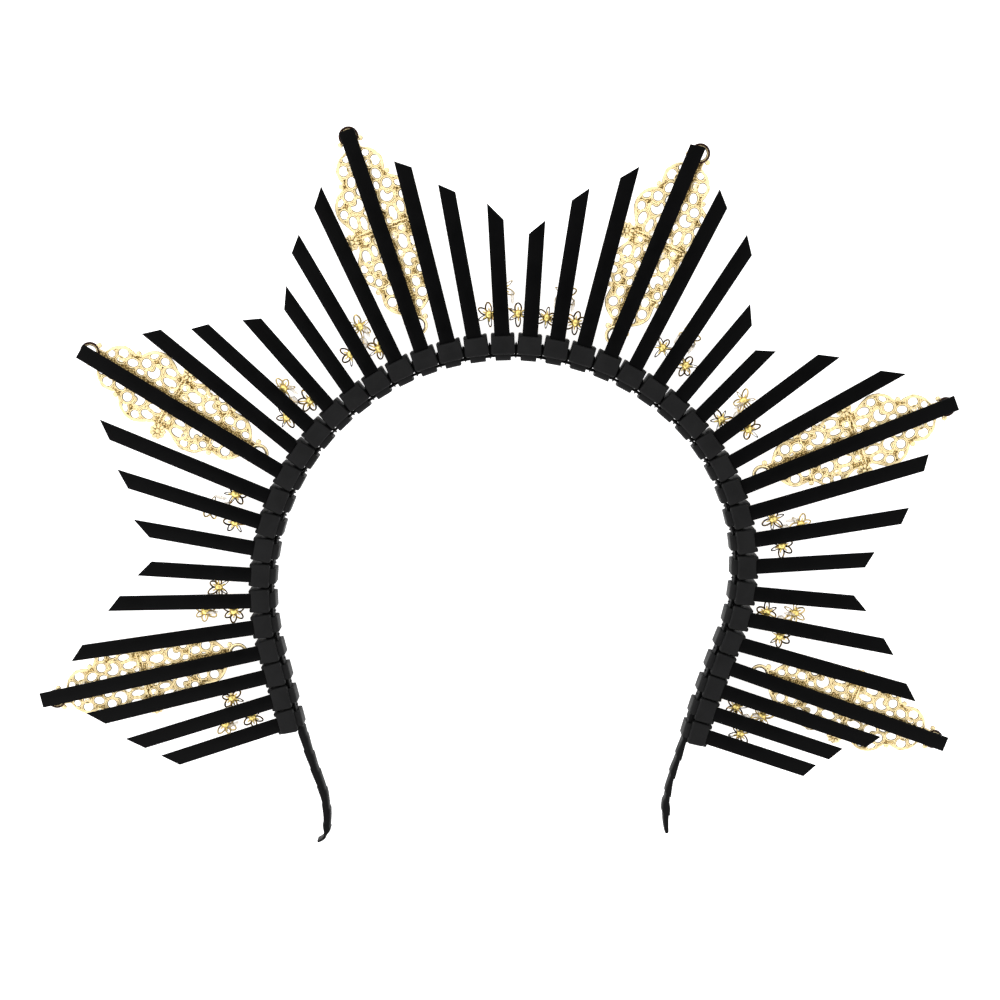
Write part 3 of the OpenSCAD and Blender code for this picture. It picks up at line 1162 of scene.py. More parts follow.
    def build(self, name: str, node: Object) -> None:
        """Builds one tie in its node's place.

        Args:
            name: The node's name.
            node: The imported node.
        """
        seat = self.seat_of(node)
        bm = bmesh.new()
        stamp(bm, self.head)
        strap = as_template(self._strap(seat))
        stamp(bm, strap, Matrix.Rotation(-seat.lean, 4, "Z"))
        piece = make_piece(f"cable_{name}", bm, self.materials, seat.place)
        attach(piece, name)


@dataclass
class RibbonBand:
    """The thin headband, wound with ribbon along its whole length."""

    strip_z: float = 6.15
    back_z: float = 1.15
    chamfer: float = 0.25
    wrap_pitch: float = 6.4
    lap: float = 0.14
    tail_lap: float = 0.3
    slant: float = 0.7
    end_fade: float = 9.0
    tail_l: float = 41.5
    left_tail: tuple = ((0.0, 0.5), (3.2, 0.6), (5.0, 1.3), (41.5, 1.34), (42.5, 0.0))
    right_tail: tuple = (
        (0.0, 0.58), (2.4, 0.8), (4.9, 1.1), (7.3, 1.38),
        (10.2, 1.45), (10.6, 1.0), (41.5, 1.1), (42.5, 0.0),
    )
    bulge_at: tuple = (1.3, 3.65)
    bulge: tuple = (0.4, 2.7, 2.3)
    hook_l: float = 2.2
    hook_out: float = 1.3
    hook_bend: float = 1.5
    wrap: tuple = (
        (0.0, 0.0), (0.12, 0.12), (0.25, 0.25), (0.38, 0.42), (0.5, 0.6),
        (0.62, 0.75), (0.75, 0.9), (0.85, 0.97), (0.93, 1.0), (0.96, 0.1),
    )
    wrap_middle: float = 0.6
    wrap_uneven: tuple = (0.6, 1.5)
    seed: int = 7
    reach: int = 3
    section_sides: int = 14
    squareness: float = 0.45
    materials: list = field(default_factory=list)

    def dress(self) -> None:
        """Makes the ribbon's material."""
        self.materials = [RIBBON.make()]

    def _route(self, node: Object) -> list[tuple[Vector, float]]:
        """Reads the band's middle line from its front strip.

        Args:
            node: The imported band.

        Returns:
            Points in millimetres from one tail's end to the other's, each with the half thickness.
        """
        rim = [p / MM for p in max(level_loops(node, self.strip_z), key=len)]
        count = len(rim)

        def spread(start: int) -> float:
            """Adds up the strip's widths if its end lies between two neighbours of the rim."""
            return sum((rim[start - i] - rim[(start + 1 + i) % count]).length for i in range(count // 2))

        start = min(range(count), key=spread)
        route = []
        for i in range(count // 2):
            a = rim[start - i]
            b = rim[(start + 1 + i) % count]
            route.append(((a + b) / 2, (a - b).length / 2 + self.chamfer))
        if route[0][0].x > route[-1][0].x:
            route.reverse()
        return route

    def _stations(self, route: list[tuple[Vector, float]]) -> list[tuple[float, Vector, Vector, float]]:
        """Places a ring at each step of each wrap of the ribbon.

        Args:
            route: The band's middle line with its half thickness.

        Returns:
            For each ring its distance along the band, its middle, its direction and its half thickness.
        """
        lengths = [0.0]
        for (a, _), (b, _) in zip(route, route[1:]):
            lengths.append(lengths[-1] + (b - a).length)
        total = lengths[-1]
        chance = random.Random(self.seed)
        rings = []
        piece = 0
        wraps = round(total / self.wrap_pitch)
        for wrap in range(wraps):
            fullness = chance.uniform(*self.wrap_uneven)
            for part, rise in self.wrap:
                s = (wrap + part) * total / wraps
                while lengths[piece + 1] < s:
                    piece += 1
                t = (s - lengths[piece]) / (lengths[piece + 1] - lengths[piece])
                middle = route[piece][0].lerp(route[piece + 1][0], t)
                half = route[piece][1] * (1 - t) + route[piece + 1][1] * t
                lift = fullness * (rise - self.wrap_middle)
                rings.append((s, middle, self._wound_half(half, s, total, lift)))
        stations = []
        for i, (s, middle, half) in enumerate(rings):
            before = rings[max(i - self.reach, 0)][1]
            after = rings[min(i + self.reach, len(rings) - 1)][1]
            along = (after - before).normalized()
            hook = max(0.0, 1 - s / self.hook_l) ** self.hook_bend * self.hook_out
            stations.append((s, middle + Vector((-along.y, along.x, 0)) * hook, along, half))
        return stations

    def _wound_half(self, half: float, s: float, total: float, rise: float) -> float:
        """Works out half the wound band's thickness.

        Args:
            half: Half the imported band's thickness there.
            s: The distance along the band.
            total: The band's length.
            rise: How far the ribbon's wrap stands out there, as a share of its lap.

        Returns:
            Half the thickness.
        """
        from_end = min(s, total - s)
        if from_end > self.tail_l:
            return half + self.lap * rise
        tail = self.left_tail if s < total / 2 else self.right_tail
        for (near, near_half), (far, far_half) in zip(tail, tail[1:]):
            if near <= from_end <= far:
                share = (from_end - near) / (far - near)
                half = max(half, near_half + (far_half - near_half) * share)
        return half + self.tail_lap * rise * min(1.0, half) ** 2

    def _add_bulges(self, bm: BMesh, seats: list[TieSeat], head_w: float) -> None:
        """Adds the ribbon that is squeezed out between neighbouring heads.

        Args:
            bm: The band.
            seats: The ties' seats, in order along the band.
            head_w: The width of a head at the band.
        """
        for first, second in zip(seats, seats[1:]):
            a, b = (seat.place.translation / MM for seat in (first, second))
            outward = (first.place.col[1].xyz + second.place.col[1].xyz).normalized()
            centre = (a + b) / 2 + outward * self.bulge_at[0] + UP * self.bulge_at[1]
            half_gap = ((a - b).length - head_w) / 2
            half = Vector((half_gap + self.bulge[0], *self.bulge[1:]))
            add_bead(bm, centre, half, math.atan2(-outward.x, outward.y))

    def build(self, node: Object, seats: list[TieSeat], head_w: float) -> None:
        """Builds the band in its node's place.

        Args:
            node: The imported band.
            seats: The ties' seats, in order along the band.
            head_w: The width of a head at the band.
        """
        route = self._route(node)
        stations = self._stations(route)
        total = stations[-1][0]
        half_z = (self.strip_z - self.back_z) / 2
        bm = bmesh.new()
        tube = None
        distances = {}
        for s, middle, along, half in stations:
            outward = Vector((-along.y, along.x, 0))
            slant = self.slant * min(1.0, s / self.end_fade, (total - s) / self.end_fade)
            leaning = outward + along * slant
            turn = Matrix((leaning, UP, along)).transposed().to_4x4()
            centre = Vector((middle.x, middle.y, self.back_z + half_z))
            place = Matrix.Translation(centre) @ turn @ Matrix.Diagonal((half, half_z, 1, 1))
            if tube is None:
                tube = Tube(bm, place, self.section_sides)
                self._square_off(bm, place)
            else:
                tube.grow(place)
            for vert in tube.ring:
                distances[vert] = s
        tube.close_ends()
        layer = bm.loops.layers.uv.new("ribbon")
        for face in bm.faces:
            for loop in face.loops:
                loop[layer].uv = (distances[loop.vert], loop.vert.co.z)
        self._add_bulges(bm, seats, head_w)
        piece = make_piece("wound_band", bm, self.materials, Matrix.Scale(MM, 4))
        attach(piece, node.name)
        LOG.info("band: %.1f mm long", total)

    def _square_off(self, bm: BMesh, place: Matrix) -> None:
        """Turns the first ring from a circle into a rounded rectangle.

        Args:
            bm: The band, which is that ring alone.
            place: The ring's place.
        """
        back = place.inverted()
        for vert in bm.verts:
            local = back @ vert.co
            local.x = math.copysign(abs(local.x) ** self.squareness, local.x)
            local.y = math.copysign(abs(local.y) ** self.squareness, local.y)
            vert.co = place @ local


@dataclass(frozen=True)
class LeafPlace:
    """Where a leaf sits: X across it, Y from its tip towards the band."""

    place: Matrix

    @classmethod
    def from_node(cls, node: Object, front_z: float, ring_reach: float) -> "LeafPlace":
        """Reads the place from the leaf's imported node.

        Args:
            node: The leaf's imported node.
            front_z: The height of its front, in millimetres.
            ring_reach: How far its tip ring reaches past its origin.

        Returns:
            The place.
        """
        mesh = node.data
        front = [p for p in mesh.polygons if p.normal.z > ALIGNED]
        faces = [p for p in front if abs(p.center.z - front_z * MM) < LEVEL_TOLERANCE]
        area = sum(p.area for p in faces)
        middle = sum((p.center * p.area for p in faces), Vector()) / area
        xx = yy = xy = 0.0
        for face in faces:
            corners = [mesh.vertices[i].co - middle for i in face.vertices]
            for a, b in ((0, 1), (1, 2), (2, 0)):
                half_way = (corners[a] + corners[b]) / 2
                xx += half_way.x ** 2 * face.area
                yy += half_way.y ** 2 * face.area
                xy += half_way.x * half_way.y * face.area
        turn = 0.5 * math.atan2(2 * xy, xx - yy)
        inward = Vector((math.cos(turn), math.sin(turn), 0))
        if inward.dot(middle) > 0:
            inward.negate()
        reach = min(v.co.dot(inward) for v in mesh.vertices) + ring_reach * MM
        across = turned_square(inward)
        origin = across * middle.dot(across) + inward * reach
        return cls(basis(origin, across, inward))


@dataclass
class FiligreeLeaves:
    """The pierced gold leaves. A leaf's X is across it, its Y runs from its tip to the band."""

    front_z: float = 6.2
    plate_z: float = 5.42
    plate_t: float = 0.42
    plate_edge: float = 0.1
    ring_reach: float = 0.8
    rim_r: float = 0.24
    rim_in: float = 0.24
    line_r: float = 0.19
    line_in: float = 0.75
    line_ends: float = 0.55
    stroke_steps: int = 4
    hole_more: tuple = (0.55, 0.4, 0.25, 0.1, 0.0)
    hole_sides: int = 14
    least_metal: float = 0.28
    hole_rim_out: float = 0.144
    edge_r: float = 0.17
    edge_in: float = 0.08
    edge_rise: float = 0.7
    outline_edge_in: float = 0.18
    second_out: float = 0.62
    second_r: float = 0.1615
    tip_ring: tuple = (2.3, 2.72, 0.38)
    end_ring: tuple = (62.7, 2.65, 0.4)
    ring_hole: float = 2.2
    ring_sink: float = 0.05
    small_holes: tuple = (
        (3.1, 8.3, 0.72, 0.72, 0),
        (4.0, 15.3, 0.85, 1.3, 20),
        (9.3, 20.0, 0.45, 1.0, 50),
        (9.5, 23.7, 0.85, 1.0, 0),
        (9.0, 44.5, 0.85, 0.85, 0),
        (6.7, 46.4, 0.6, 0.8, 0),
        (4.2, 49.7, 0.85, 1.3, 0),
        (2.9, 56.3, 0.6, 0.85, 0),
        (2.85, 11.6, 0.45, 0.8, 0),
        (2.8, 18.7, 0.45, 0.9, 0),
        (2.85, 25.3, 0.5, 0.8, 0),
        (2.9, 29.9, 0.5, 0.6, 0),
        (2.9, 34.6, 0.5, 0.8, 0),
        (2.8, 40.2, 0.45, 0.8, 0),
        (2.8, 46.0, 0.45, 0.8, 0),
        (2.8, 52.2, 0.45, 0.8, 0),
        (5.6, 33.0, 0.55, 0.55, 0),
        (7.5, 40.6, 0.45, 0.7, 0),
    )
    beads: tuple = ((3.2, 3.8, 0.75), (7.4, 15.5, 0.75), (7.9, 49.1, 0.8), (3.1, 60.8, 0.8))
    strokes: tuple = (
        ((2.5, 6.2), (4.9, 7.4), (6.1, 8.6), (7.0, 10.2), (7.4, 12.0), (7.2, 13.7), (6.8, 14.8)),
        ((7.6, 16.5), (9.6, 17.8), (11.3, 20.4), (11.8, 23.1), (10.9, 26.0), (9.1, 28.6)),
        ((9.3, 35.8), (10.7, 38.4), (11.3, 41.5), (10.9, 44.2), (9.9, 46.1), (8.8, 47.1)),
        ((7.3, 49.9), (7.5, 51.9), (7.5, 53.3), (6.6, 55.5), (5.6, 56.8), (3.7, 58.1), (2.5, 58.8)),
    )
    bead_sink: float = 0.12
    bead_h: float = 0.42
    curls: tuple = (
        (2.95, 11.7, 1.0), (7.4, 22.6, 0.9), (6.2, 33.6, 0.8), (2.9, 34.0, 0.8), (7.2, 43.9, 0.7),
    )
    curl_points: int = 24
    curl_fade: int = 26
    curl_turn: float = 0.42
    curl_r: float = 0.209
    ribs: tuple = (
        ((2.5, 30.6), (5.4, 30.9), (8.3, 31.0)),
        ((2.5, 31.9), (5.6, 32.2), (8.0, 32.0)),
        ((2.5, 46.9), (4.6, 47.9), (6.8, 48.0)),
        ((2.5, 48.0), (4.6, 48.7), (6.8, 48.7)),
    )
    rosette: tuple = (10.4, 32.3, 2.55)
    rosette_petals: int = 9
    rosette_petal: tuple = (0.78, 0.52, 0.3)
    rosette_petal_in: float = 0.85
    rosette_bead: tuple = (0.75, 0.75, 0.36)
    rosette_sink: float = 0.03
    materials: list = field(default_factory=list)

    def dress(self) -> None:
        """Makes the materials: the gold, the blackened gold and the dark edge gold that paints shade
        along the edges.
        """
        self.materials = [LEAF_GOLD.make(), DARK_GOLD.make(), EDGE_SHADE_GOLD.make()]

    def _oval(self, x: float, y: float, half_w: float, half_l: float, turn: float) -> list[Vector]:
        """Draws an oval hole's outline.

        Args:
            x: Its middle's X.
            y: Its middle's Y.
            half_w: Half its width.
            half_l: Half its length.
            turn: Its turn on the left half, in degrees. The right half's is its mirror image.

        Returns:
            Its points.
        """
        lean = Matrix.Rotation(math.radians(-turn if x > 0 else turn), 3, "Z")
        points = []
        for k in range(self.hole_sides):
            a = k * math.tau / self.hole_sides
            corner = Vector((half_w * math.cos(a), half_l * math.sin(a), 0))
            points.append(Vector((x, y, 0)) + lean @ corner)
        return points

    def _stands_clear(self, hole: list[Vector], other: list[Vector]) -> bool:
        """Tells whether a hole's corners keep enough metal to another edge, and the edge's to it."""
        return min(outline_gap(hole, other), outline_gap(other, hole)) > self.least_metal

    def _widest(self, hole: list[Vector], others: list[list[Vector]]) -> list[Vector] | None:
        """Widens a hole as far as the metal round it allows.

        Only distances from corners to sides are measured, so a few coarse outlines may still cross.

        Args:
            hole: The hole's outline.
            others: The edges that it has to stand clear of.

        Returns:
            The wider outline, or nothing if even the hole itself stands too close.
        """
        for more in self.hole_more:
            wider = inset_loop(hole, -more)
            if all(self._stands_clear(wider, other) for other in others):
                return wider
        return None

    def _plate(self, loops: list[list[Vector]]) -> BMesh:
        """Makes the pierced plate with softened edges.

        Args:
            loops: The leaf's outline and its holes.

        Returns:
            The plate.
        """
        bm = bmesh.new()
        inward = [self.plate_edge] + [-self.plate_edge] * (len(loops) - 1)
        flat = [inset_loop(loop, distance) for loop, distance in zip(loops, inward)]
        top = self.plate_z + self.plate_t
        profile = (
            (flat, self.plate_z),
            (loops, self.plate_z + self.plate_edge),
            (loops, top - self.plate_edge),
            (flat, top),
        )
        for i in range(len(loops)):
            rings = [[bm.verts.new((p.x, p.y, z)) for p in level[i]] for level, z in profile]
            for low, high in zip(rings, rings[1:]):
                for k in range(len(low)):
                    bm.faces.new((low[k - 1], low[k], high[k], high[k - 1]))
        corners, metal = self._metal(flat)
        for z in (self.plate_z, top):
            verts = [bm.verts.new((p.x, p.y, z)) for p in corners]
            for triangle in metal:
                bm.faces.new([verts[k] for k in triangle])
        bmesh.ops.remove_doubles(bm, verts=bm.verts, dist=MERGE_DISTANCE)
        return bm

    def _metal(self, loops: list[list[Vector]]) -> tuple[list[Vector], list[list[int]]]:
        """Cuts the area between an outline and its holes into triangles.

        Args:
            loops: The outline and its holes.

        Returns:
            The triangles' corners, and each triangle's places among them.
        """
        flat = [p.to_2d() for loop in loops for p in loop]
        sides = []
        for loop in loops:
            first = len(sides)
            sides += [(first + k, first + (k + 1) % len(loop)) for k in range(len(loop))]
        corners, _, triangles, sources, *_ = delaunay_2d_cdt(flat, sides, [], FILL_INSIDE, CUT_TOLERANCE)
        owners = [loop for loop in loops for _ in loop]
        metal = []
        for triangle in triangles:
            near = [owners[source] for k in triangle for source in sources[k]]
            middle = centre_of([corners[k] for k in triangle])
            if not any(loop is not loops[0] and encloses(loop, middle) for loop in near):
                metal.append(triangle)
        return corners, metal

    def _add_loop_wire(self, bm: BMesh, points: list[Vector], radius: float, shade_wire: bool = False) -> None:
        """Adds a closed wire along an edge of the plate.

        Args:
            bm: The leaf.
            points: The wire's middle line, seen from the front.
            radius: The wire's radius.
            shade_wire: Whether it is the dark wire on the edge's side, which paints shade along the edge,
                and not the bright rim on the front.
        """
        z = self.plate_z + self.plate_t * (self.edge_rise if shade_wire else 1)
        line = [Vector((p.x, p.y, z)) for p in [*points, points[0]]]
        wire = bmesh.new()
        add_wire(wire, line, [radius] * len(line), sides=4 if shade_wire else 6, closed=True)
        # The side wire gets the dark gold that paints shade along the edge.
        paint(wire, LeafMaterial.EDGE if shade_wire else LeafMaterial.GOLD)
        merge(bm, wire)

    def _add_line_wire(self, bm: BMesh, points: list[Vector], radius: float) -> None:
        """Adds an open raised wire on the plate, tapering to its ends.

        Args:
            bm: The leaf.
            points: The wire's middle line.
            radius: The wire's radius in the middle of its length.
        """
        count = len(points) - 1
        swell = 1 - self.line_ends
        radii = [
            radius * (self.line_ends + swell * math.sin(math.pi * i / count) ** 0.5)
            for i in range(count + 1)
        ]
        wire = bmesh.new()
        add_wire(wire, points, radii)
        merge(bm, wire)

    def _half_details(self, side: int) -> BMesh:
        """Makes the raised work of one half: inner lines, ribs, curls, beads and the rosette.

        Args:
            side: 1 for the half on the X side, -1 for the other.

        Returns:
            The raised work.
        """
        bm = bmesh.new()
        z = self.plate_z + self.plate_t
        for stroke in self.strokes:
            line = smooth_line(stroke, self.stroke_steps, z)
            inner = []
            for i, point in enumerate(line):
                along = (line[min(i + 1, len(line) - 1)] - line[max(i - 1, 0)]).normalized()
                inner.append(point + Vector((-along.y, along.x, 0)) * self.line_in)
            self._add_line_wire(bm, inner, self.line_r)
        for rib in self.ribs:
            self._add_line_wire(bm, smooth_line(rib, self.stroke_steps, z), self.line_r)
        for x, y, size in self.curls:
            curl = []
            for k in range(self.curl_points):
                radius = size * (1 - k / self.curl_fade)
                a = k * self.curl_turn
                curl.append(Vector((x + radius * math.cos(a), y + radius * math.sin(a), z)))
            self._add_line_wire(bm, curl, self.curl_r)
        for x, y, radius in self.beads:
            add_bead(bm, Vector((x, y, z - self.bead_sink)), Vector((radius, radius, self.bead_h)))
        x, y, radius = self.rosette
        add_bead(bm, Vector((x, y, z)), Vector(self.rosette_bead))
        for k in range(self.rosette_petals):
            a = k * math.tau / self.rosette_petals
            out = Vector((math.cos(a), math.sin(a), 0)) * (radius - self.rosette_petal_in)
            at = Vector((x, y, z - self.rosette_sink)) + out
            add_bead(bm, at, Vector(self.rosette_petal), a)
        if side < 0:
            mirror(bm)
        return bm

    def _rings(self) -> BMesh:
        """Makes the blackened round ring at the leaf's tip and the gold one at its end."""
        bm = bmesh.new()
        z = self.plate_z + self.plate_t - self.ring_sink
        kinds = (LeafMaterial.BLACKENED, LeafMaterial.GOLD)
        for kind, (y, radius, wire_r) in zip(kinds, (self.tip_ring, self.end_ring)):
            points = circle(0, y, z, radius, 36)
            wire = bmesh.new()
            add_wire(wire, points, [wire_r] * len(points), sides=8, closed=True)
            paint(wire, kind)
            merge(bm, wire)
        return bm

    def build(self, name: str, node: Object) -> None:
        """Builds one leaf in its node's place.

        Args:
            name: The node's name.
            node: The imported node.
        """
        seat = LeafPlace.from_node(node, self.front_z, self.ring_reach)
        back = seat.place.inverted()
        loops = [[back @ p for p in loop] for loop in level_loops(node, self.front_z)]
        outline, *gaps = sorted(loops, key=len, reverse=True)
        rings = (self.tip_ring, self.end_ring)
        ring_holes = [self._oval(0, y, self.ring_hole, self.ring_hole, 0) for y, _, _ in rings]
        large_holes = []
        for i, gap in enumerate(gaps):
            others = [outline, *ring_holes, *large_holes, *gaps[i + 1:]]
            large_holes.append(self._widest(gap, others) or gap)
        cuts = [outline, *ring_holes, *large_holes]
        for x, y, half_w, half_l, turn in self.small_holes:
            for side in (-1, 1):
                oval = self._widest(self._oval(side * x, y, half_w, half_l, turn), cuts)
                if oval:
                    cuts.append(oval)
        bm = bmesh.new()
        merge(bm, self._plate(cuts))
        self._add_loop_wire(bm, inset_loop(outline, self.rim_in + self.edge_in), self.rim_r)
        # A dark wire just inside the outline paints shade along its edge.
        self._add_loop_wire(bm, inset_loop(outline, self.outline_edge_in), self.edge_r, shade_wire=True)
        for hole in cuts[1:]:
            self._add_loop_wire(bm, inset_loop(hole, -self.hole_rim_out), self.line_r)
            # A dark wire round each hole's edge paints shade there.
            self._add_loop_wire(bm, inset_loop(hole, self.edge_in), self.edge_r, shade_wire=True)
        for hole in large_holes:
            self._add_loop_wire(bm, inset_loop(hole, -self.second_out), self.second_r)
        for side in (-1, 1):
            merge(bm, self._half_details(side))
        merge(bm, self._rings())
        piece = make_piece(f"filigree_{name}", bm, self.materials, seat.place)
        attach(piece, name)


@dataclass
class WireFlowers:
    """The clusters of small wire flowers, with the stems and the glue that hold them."""

    dome_z: float = 6.2
    dome_top_r: float = 0.9
    petals: int = 6
    petal_l: float = 3.75
    petal_w: float = 1.9
    petal_in: float = 0.65
    petal_wire: float = 0.3
    petal_points: int = 18
    petal_taper: float = 0.25
    sepals: int = 6
    sepal_out: float = 1.426
    sepal: tuple = (0.95, 0.27, 0.22)
    sepal_rise: float = 0.35
    petal_z: float = 4.65
    cup: float = 0.55
    centre_r: float = 1.22
    centre_h: float = 0.75
    centre_drop: float = 0.05
    centre_rise: float = 0.3
    collar_r: float = 1.15
    collar_wire: float = 0.16
    collar_rise: float = 0.25
    stem_z: float = 4.45
    stem_r: float = 0.24
    dab: tuple = (1.5, 1.9, 0.95)
    hub: tuple = (2.6, -28.4)
    dab_rise: float = 0.5
    lump: float = 0.06
    lump_waves: tuple = (5, 3)
    lump_shift: float = 0.5
    folded_share: float = 0.42
    folded_width: tuple = (0.35, 0.6)
    open_width: tuple = (0.8, 1.08)
    petal_stretch: tuple = (0.82, 1.05)
    petal_turn: tuple = (-0.16, 0.16)
    petal_pitch: tuple = (-0.1, 0.05)
    seam_dab: tuple = (0.55, 2.0, 0.45)
    seam_dab_at: tuple = (2.75, 2.6)
    seam_dab_rise: float = 0.6
    materials: list = field(default_factory=list)
    petal: Mesh | None = None
    pale_petal: Mesh | None = None
    centre: Mesh | None = None

    def dress(self) -> None:
        """Makes the materials: petals, centres, glue and the outer flowers' paler petals."""
        self.materials = [PETAL_GOLD.make(), CENTRE_GOLD.make(), GLUE.make(), PALE_GOLD.make()]

    def build_templates(self) -> None:
        """Builds the petal and the centre that every flower shares."""
        self._build_petals()
        bm = bmesh.new()
        low = self.petal_z - self.centre_drop
        size = (self.centre_r, self.centre_r, self.centre_h, 1)
        dome = Matrix.Translation((0, 0, low + self.centre_rise)) @ Matrix.Diagonal(size)
        bmesh.ops.create_uvsphere(bm, u_segments=16, v_segments=9, radius=1, matrix=dome)
        for k in range(self.sepals):
            a = (k + 0.5) * math.tau / self.sepals
            out = Vector((math.cos(a), math.sin(a), 0)) * self.sepal_out
            add_bead(bm, out + UP * (low + self.sepal_rise), Vector(self.sepal), a)
        collar = circle(0, 0, low + self.collar_rise, self.collar_r, 18)
        wire = bmesh.new()
        add_wire(wire, collar, [self.collar_wire] * len(collar), closed=True)
        merge(bm, wire)
        paint(bm, FlowerMaterial.CENTRE)
        self.centre = as_template(bm)

    def _build_petals(self) -> None:
        """Builds the open wire petal, once for the inner flowers and once for the outer ones."""
        points = []
        for k in range(self.petal_points + 1):
            a = k * math.tau / self.petal_points
            t = 0.5 - 0.5 * math.cos(a)
            out = self.petal_in + (self.petal_l - self.petal_in) * t
            across = self.petal_w / 2 * math.sin(a) * (1 - self.petal_taper * (t - 0.5))
            points.append(Vector((across, out, self.petal_z + self.cup * (out / self.petal_l) ** 2)))
        bm = bmesh.new()
        add_wire(bm, points, [self.petal_wire] * len(points), closed=True)
        self.petal = as_template(bm)
        self.pale_petal = self.petal.copy()
        paint(self.pale_petal, FlowerMaterial.PALE_PETAL)

    def _flower(
        self,
        bm: BMesh,
        petal: Mesh,
        centre: Vector,
        spin: float,
        chance: random.Random,
    ) -> None:
        """Adds one flower, each petal bent a little differently.

        Args:
            bm: The piece to add to.
            petal: The petal that it is made of.
            centre: The flower's middle.
            spin: Its turn about Z.
            chance: The source of its small differences.
        """
        at = Matrix.Translation((centre.x, centre.y, 0))
        pivot = Vector((0, 0, self.petal_z))
        for k in range(self.petals):
            a = spin + k * math.tau / self.petals + chance.uniform(*self.petal_turn)
            turn = Matrix.Rotation(a, 4, "Z")
            folded = chance.random() < self.folded_share
            width = chance.uniform(*(self.folded_width if folded else self.open_width))
            bend = (
                Matrix.Translation(pivot)
                @ Matrix.Rotation(chance.uniform(*self.petal_pitch), 4, "X")
                @ Matrix.Diagonal((width, chance.uniform(*self.petal_stretch), 1, 1))
                @ Matrix.Translation(-pivot)
            )
            stamp(bm, petal, at @ turn @ bend)
        stamp(bm, self.centre, at @ Matrix.Rotation(spin, 4, "Z"))

    def _cluster(self, bm: BMesh, pad: Vector, centres: list[Vector], chance: random.Random) -> None:
        """Adds a cluster: its flowers, its stems and its glue.

        Args:
            bm: The piece to add to.
            pad: Where its stems meet behind the strap.
            centres: Its flowers' middles.
            chance: The source of its small differences.
        """
        hub = Vector((*self.hub, 0))
        outer = max(centres, key=lambda c: (c - hub).length)
        for centre in centres:
            out = centre - pad
            petal = self.pale_petal if centre is outer else self.petal
            self._flower(bm, petal, centre, math.atan2(-out.x, out.y), chance)
            stem = [Vector((p.x, p.y, self.stem_z)) for p in (pad, pad.lerp(centre, 0.5), centre)]
            wire = bmesh.new()
            add_wire(wire, stem, [self.stem_r] * len(stem))
            merge(bm, wire)
        dab = self._glue_dab(chance)
        stamp(bm, dab, Matrix.Translation((pad.x, pad.y, self.petal_z + self.dab_rise)))
        outward = (pad - hub).normalized()
        across = turned_square(outward)
        turn = Matrix((across, outward, UP)).transposed().to_4x4()
        slim = Matrix.Diagonal((*(s / d for s, d in zip(self.seam_dab, self.dab)), 1))
        aside, onward = self.seam_dab_at
        for side in (-1, 1):
            at = pad + across * side * aside + outward * onward
            place = Matrix.Translation((at.x, at.y, self.petal_z + self.seam_dab_rise))
            stamp(bm, dab, place @ turn @ slim)

    def _glue_dab(self, chance: random.Random) -> Mesh:
        """Makes a lumpy dab of glue.

        Args:
            chance: The source of its lumps.

        Returns:
            The dab, round its own middle.
        """
        drop = bmesh.new()
        place = Matrix.Diagonal((*self.dab, 1))
        bmesh.ops.create_icosphere(drop, subdivisions=3, radius=1, matrix=place)
        over, up = self.lump_waves
        for vert in drop.verts:
            wave = over * vert.co.x + up * vert.co.y + chance.uniform(0, self.lump_shift)
            vert.co *= 1 + self.lump * math.sin(wave)
        paint(drop, FlowerMaterial.GLUE)
        return as_template(drop)

    def build(self, name: str, node: Object) -> None:
        """Builds one node's two clusters in its place.

        Args:
            name: The node's name.
            node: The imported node.
        """
        chance = random.Random(name)
        pads = []
        centres = []
        for loop in level_loops(node, self.dome_z):
            middle = centre_of(loop) / MM
            radius = (loop[0] / MM - middle).length
            (centres if radius < self.dome_top_r else pads).append(middle)
        bm = bmesh.new()
        for pad in pads:
            own = [c for c in centres if min(pads, key=lambda p: (p - c).length) is pad]
            self._cluster(bm, pad, own, chance)
        piece = make_piece(f"wire_{name}", bm, self.materials, Matrix.Scale(MM, 4))
        attach(piece, name)


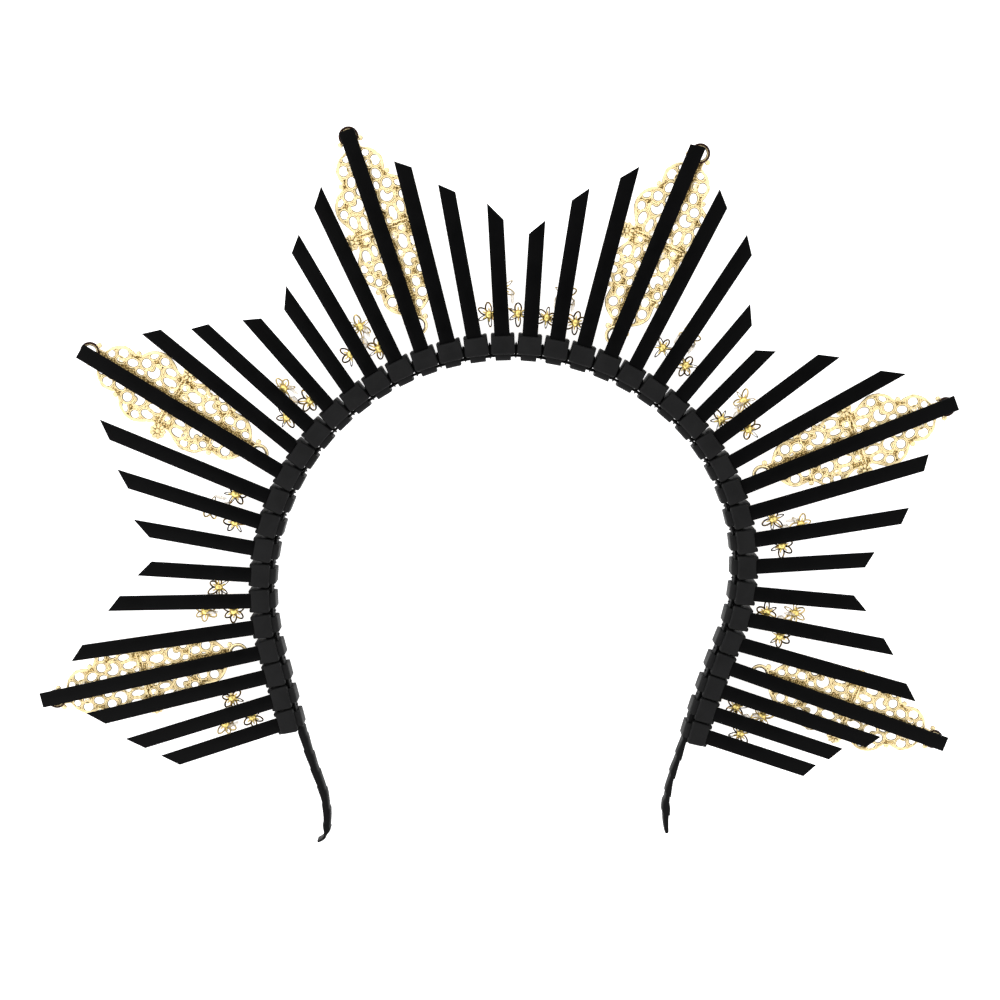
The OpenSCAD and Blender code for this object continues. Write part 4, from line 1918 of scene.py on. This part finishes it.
@dataclass
class Setting:
    """The pale surface that the crown lies on, the light and the camera. Sizes are in metres."""

    floor_half: float = 20.0
    floor_z: float = -0.0005
    camera_at: tuple = (0.00163, 0.07603, 0.4897)
    camera_pitch: float = 9.0
    sensor: float = 36.0
    focal_share: float = 1.5625
    clip: tuple = (0.01, 20.0)
    world_light: float = 0.36
    lamp_count: int = 8
    lamp_ring_r: float = 1.25
    lamp_z: float = 0.95
    lamp_d: float = 1.4
    lamp_power: float = 5.8
    left_power: float = 1.25
    right_power: float = 0.85

    def build_floor(self) -> None:
        """Makes the floor under the crown's back."""
        bm = bmesh.new()
        bmesh.ops.create_grid(bm, x_segments=8, y_segments=8, size=self.floor_half)
        place = Matrix.Translation((0, 0, self.floor_z))
        floor = make_piece("floor", bm, [FLOOR.make()], place, closed=False)

    def build_light(self) -> None:
        """Makes a dim sky and a ring of large soft lamps, a little brighter on the left."""
        world = bpy.data.worlds.new("studio")
        world.use_nodes = True
        sky = world.node_tree.nodes["Background"].inputs
        sky["Color"].default_value = (1, 1, 1, 1)
        sky["Strength"].default_value = self.world_light
        bpy.context.scene.world = world
        for k in range(self.lamp_count):
            a = (k + 0.5) * math.tau / self.lamp_count
            at = Vector((self.lamp_ring_r * math.cos(a), self.lamp_ring_r * math.sin(a), self.lamp_z))
            name = f"lamp_{k + 1}"
            lamp = bpy.data.lights.new(name, "AREA")
            lamp.shape = "DISK"
            lamp.size = self.lamp_d
            lamp.energy = self.lamp_power * (self.left_power if at.x < 0 else self.right_power)
            holder = bpy.data.objects.new(name, lamp)
            steep_shade = at.to_track_quat("Z", "Y").to_matrix().to_4x4()
            holder.matrix_world = Matrix.Translation(at) @ steep_shade
            bpy.context.scene.collection.objects.link(holder)

    def build_camera(self) -> None:
        """Places the camera at the photo's viewpoint."""
        lens = bpy.data.cameras.new("camera")
        lens.sensor_width = self.sensor
        lens.lens = self.focal_share * self.sensor
        lens.clip_start, lens.clip_end = self.clip
        camera = bpy.data.objects.new("camera", lens)
        tilt = Matrix.Rotation(math.radians(-self.camera_pitch), 4, "X")
        camera.matrix_world = Matrix.Translation(self.camera_at) @ tilt
        bpy.context.scene.collection.objects.link(camera)
        bpy.context.scene.camera = camera


def main() -> None:
    """Builds the crown piece by piece."""
    logging.basicConfig(level=logging.INFO, format="%(name)s: %(message)s")
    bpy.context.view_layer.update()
    bpy.context.scene.view_settings.view_transform = "Standard"
    setting = Setting()
    setting.build_camera()
    setting.build_light()
    setting.build_floor()
    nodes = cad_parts
    ties = CableTies()
    ties.dress()
    ties.build_heads()
    seats = [ties.seat_of(node) for name, node in nodes.items() if name.startswith("tie_")]
    band = RibbonBand()
    band.dress()
    band.build(nodes["band"], seats, ties.head_w)
    leaves = FiligreeLeaves()
    leaves.dress()
    flowers = WireFlowers()
    flowers.dress()
    flowers.build_templates()
    builders = {"tie": ties, "leaf": leaves, "flowers": flowers}
    for name, node in nodes.items():
        kind = name.split("_")[0]
        if kind in builders:
            builders[kind].build(name, node)
    LOG.info("crown finished")


if __name__ == "__main__":
    main()
